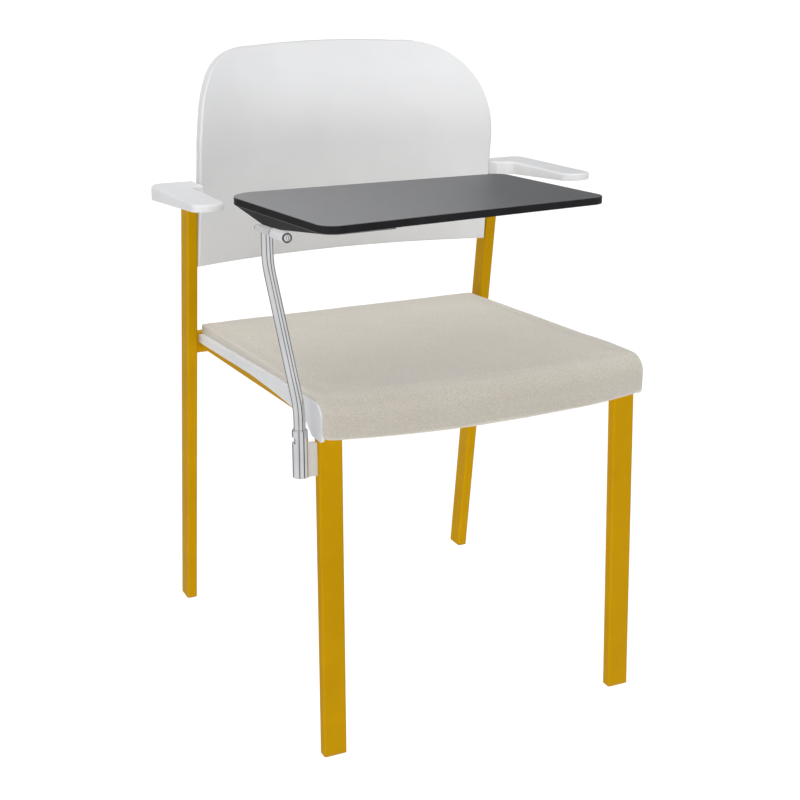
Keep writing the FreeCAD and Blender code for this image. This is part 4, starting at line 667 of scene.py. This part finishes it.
top = board_plan(BOARD_PLAN, BOARD_ROUNDS, BOARD_EDGE)
board_rings = [ring_at(top, 0.0, BOARD_EDGE / 2), ring_at(top, BOARD_EDGE / 2)]
for a in map(math.radians, BOARD_EDGE_TURNS):
    height = BOARD_THICK - BOARD_EDGE * (1 - math.sin(a))
    board_rings.append(ring_at(top, height, BOARD_EDGE * (1 - math.cos(a))))
under = board_plan(SUPPORT_TOP, SUPPORT_ROUNDS)
foot = board_plan(SUPPORT_FOOT, [FOOT_ROUND] * 4)
support_rings = [
    ring_at(foot, -SUPPORT_DEEP, FOOT_ROUND / 3),
    ring_at(foot, -SUPPORT_DEEP + FOOT_ROUND / 3),
    ring_at(under, -JOINT),
]
packing_rings = [ring_at(under, -JOINT, -PACKING_PROUD), ring_at(under, 0.0, -PACKING_PROUD)]
for name, rings, look, node, slot in (
    ("writing_board", board_rings, TABLE, "tablet_board", "tablet_laminate"),
    ("board_support", support_rings, BLACK, "tablet_support", "support_black"),
    ("board_packing", packing_rings, PAINTED_HIGHLIGHT_PACKING, "tablet_packing", "support_black"),
):
    piece = on_arm(name, rings)
    piece.data.materials.append(look)
    # the photograph's chrome doesn't mirror the dark board
    piece.visible_glossy = False
    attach(piece, "tablet")
    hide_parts(node)


# The sleeve's bracket, slimmer in front of the sleeve's axis than its solid

# So it stands behind the leg's front edge, as in the photograph. The saddle is set a
# little towards the sleeve, to leave no gap beside it.
AXIS_Y, AXIS_Z, AXIS_LEAN = -0.206873, 0.421368, 0.028794
FRONT_SHARE = 0.30
SADDLE_X, SADDLE_DEEPER = -0.2210, 0.0014


def slimmed(name, source):
    """A copy of a node's mesh with its front half pressed towards the sleeve's axis."""
    mesh = source.data.copy()
    mesh.name = name
    mesh.transform(source.matrix_world)
    for v in mesh.vertices:
        middle = AXIS_Y + AXIS_LEAN * (v.co.z - AXIS_Z)
        if v.co.y < middle:
            v.co.y = middle + (v.co.y - middle) * FRONT_SHARE
        if v.co.x < SADDLE_X:
            v.co.x -= SADDLE_DEEPER
    return linked(name, mesh)


bracket = slimmed("bracket_block", NODES["sleeve_bracket"])
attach(bracket, "chair")
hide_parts("sleeve_bracket")


# Floor, light and camera

FLOOR = 60
FLOOR_GLOW = 0.08
SUN_SPREAD = math.radians(30)
SUNS = {
    "above": (0.57, (0.0, 0.05, -1.0)),
    "left": (0.28, (1.0, 0.35, -0.35)),
    "front": (0.27, (0.10, 1.0, -0.25)),
}
# The world's brightness for cloth and paint, and for the camera
SOFT, PLAIN = 0.33, 1.06
# The ring of softboxes with gaps between them that polished metal sees, as degrees from
# the camera's side of the studio and brightness. It stays where it is in every view.
TOWARD = (-0.431, -0.902, 0.0)
RIGHT = (0.902, -0.431, 0.0)
RING = [
    (-180, 0.40), (-172, 0.70), (-158, 0.45), (-142, 0.50), (-135, 0.10), (-118, 0.10),
    (-112, 0.80), (-60, 0.95), (-17, 0.80), (-13, 0.12), (-4, 0.12), (0, 0.85), (30, 0.95),
    (51, 0.80), (55, 0.08), (67, 0.08), (71, 0.85), (105, 0.85), (122, 0.70), (127, 0.14),
    (140, 0.14), (150, 0.40), (172, 0.06), (180, 0.40),
]
POST_FOOT = (-0.2355, -0.2069, 0.0)


def vector_math(tree, operation, vector, constant):
    """A vector node with one input and one constant."""
    n = tree.nodes.new("ShaderNodeVectorMath")
    n.operation = operation
    n.inputs[1].default_value = constant
    tree.links.new(vector, n.inputs[0])
    return n.outputs


def ring_light(tree, direction):
    """The brightness of the ring of softboxes in a direction."""
    azimuth = tree.nodes.new("ShaderNodeMath")
    azimuth.operation = "ARCTAN2"
    for socket, way in zip(azimuth.inputs, (RIGHT, TOWARD)):
        tree.links.new(vector_math(tree, "DOT_PRODUCT", direction, way)["Value"], socket)
    around = span(tree, azimuth.outputs["Value"], 0, 1, -math.pi, math.pi)
    ring = tree.nodes.new("ShaderNodeValToRGB")
    while len(ring.color_ramp.elements) < len(RING):
        ring.color_ramp.elements.new(0.5)
    for stop, (angle, light) in zip(ring.color_ramp.elements, RING):
        stop.position = (angle + 180) / 360
        stop.color = (light, light, light, 1)
    tree.links.new(around, ring.inputs["Fac"])
    return ring.outputs["Color"]


corners = [(-FLOOR, -FLOOR, 0), (FLOOR, -FLOOR, 0), (FLOOR, FLOOR, 0), (-FLOOR, FLOOR, 0)]
floor_mesh = bpy.data.meshes.new("floor")
floor_mesh.from_pydata(corners, [], [(0, 1, 2, 3)])
floor = linked("floor", floor_mesh)
paper, tree, shader, where = material("studio_paper", (0.97, 0.97, 0.97), 0.9)
pulp = cloud(tree, where, 2, 2)
colour_of(tree, shader, tint(tree, pulp, (0.965, 0.965, 0.965), (0.975, 0.975, 0.975)))
shader.inputs["Specular IOR Level"].default_value = 0.0
shader.inputs["Emission Color"].default_value = (1, 1, 1, 1)
shader.inputs["Emission Strength"].default_value = FLOOR_GLOW
# Polished metal sees the same ring where it mirrors the floor around the post
from_post = vector_math(tree, "SUBTRACT", where, POST_FOOT)["Vector"]
glow = tree.nodes.new("ShaderNodeEmission")
tree.links.new(ring_light(tree, from_post), glow.inputs["Color"])
either = tree.nodes.new("ShaderNodeMixShader")
mirrored = tree.nodes.new("ShaderNodeLightPath").outputs["Is Glossy Ray"]
for socket, value in zip(either.inputs, (mirrored, shader.outputs[0], glow.outputs[0])):
    tree.links.new(value, socket)
tree.links.new(either.outputs[0], tree.nodes["Material Output"].inputs["Surface"])
floor.data.materials.append(paper)

world = bpy.data.worlds.new("studio")
bpy.context.scene.world = world
world.use_nodes = True
room = world.node_tree
sky = room.nodes["Background"]
facing = room.nodes.new("ShaderNodeTexCoord").outputs["Generated"]
path = room.nodes.new("ShaderNodeLightPath").outputs
lit = mixed(room, path["Is Glossy Ray"], (SOFT, SOFT, SOFT, 1), ring_light(room, facing))
seen = mixed(room, path["Is Camera Ray"], lit, (PLAIN, PLAIN, PLAIN, 1))
room.links.new(seen, sky.inputs["Color"])
sky.inputs["Strength"].default_value = 1.0

# Soft suns without shadows, as studio fill
for name, (strength, way) in SUNS.items():
    data = bpy.data.lights.new(name, "SUN")
    data.energy = strength * math.pi
    data.angle = SUN_SPREAD
    data.use_shadow = False
    lamp = linked(name, data)
    lamp.visible_glossy = False
    lamp.rotation_mode = "QUATERNION"
    lamp.rotation_quaternion = Vector(way).to_track_quat("-Z", "Y")

PLACE = Vector((-0.8143, -1.7065, 0.9898))
TARGET = Vector((-0.0036, 0.0166, 0.3596))
eye = bpy.data.cameras.new("camera")
eye.lens = 66.86
eye.sensor_width = 36
eye.clip_start, eye.clip_end = 0.01, 200
camera = linked("camera", eye)
camera.location = PLACE
camera.rotation_mode = "QUATERNION"
camera.rotation_quaternion = (TARGET - PLACE).to_track_quat("-Z", "Y")
bpy.context.scene.camera = camera
bpy.context.scene.view_settings.view_transform = "Standard"

bpy.context.view_layer.update()
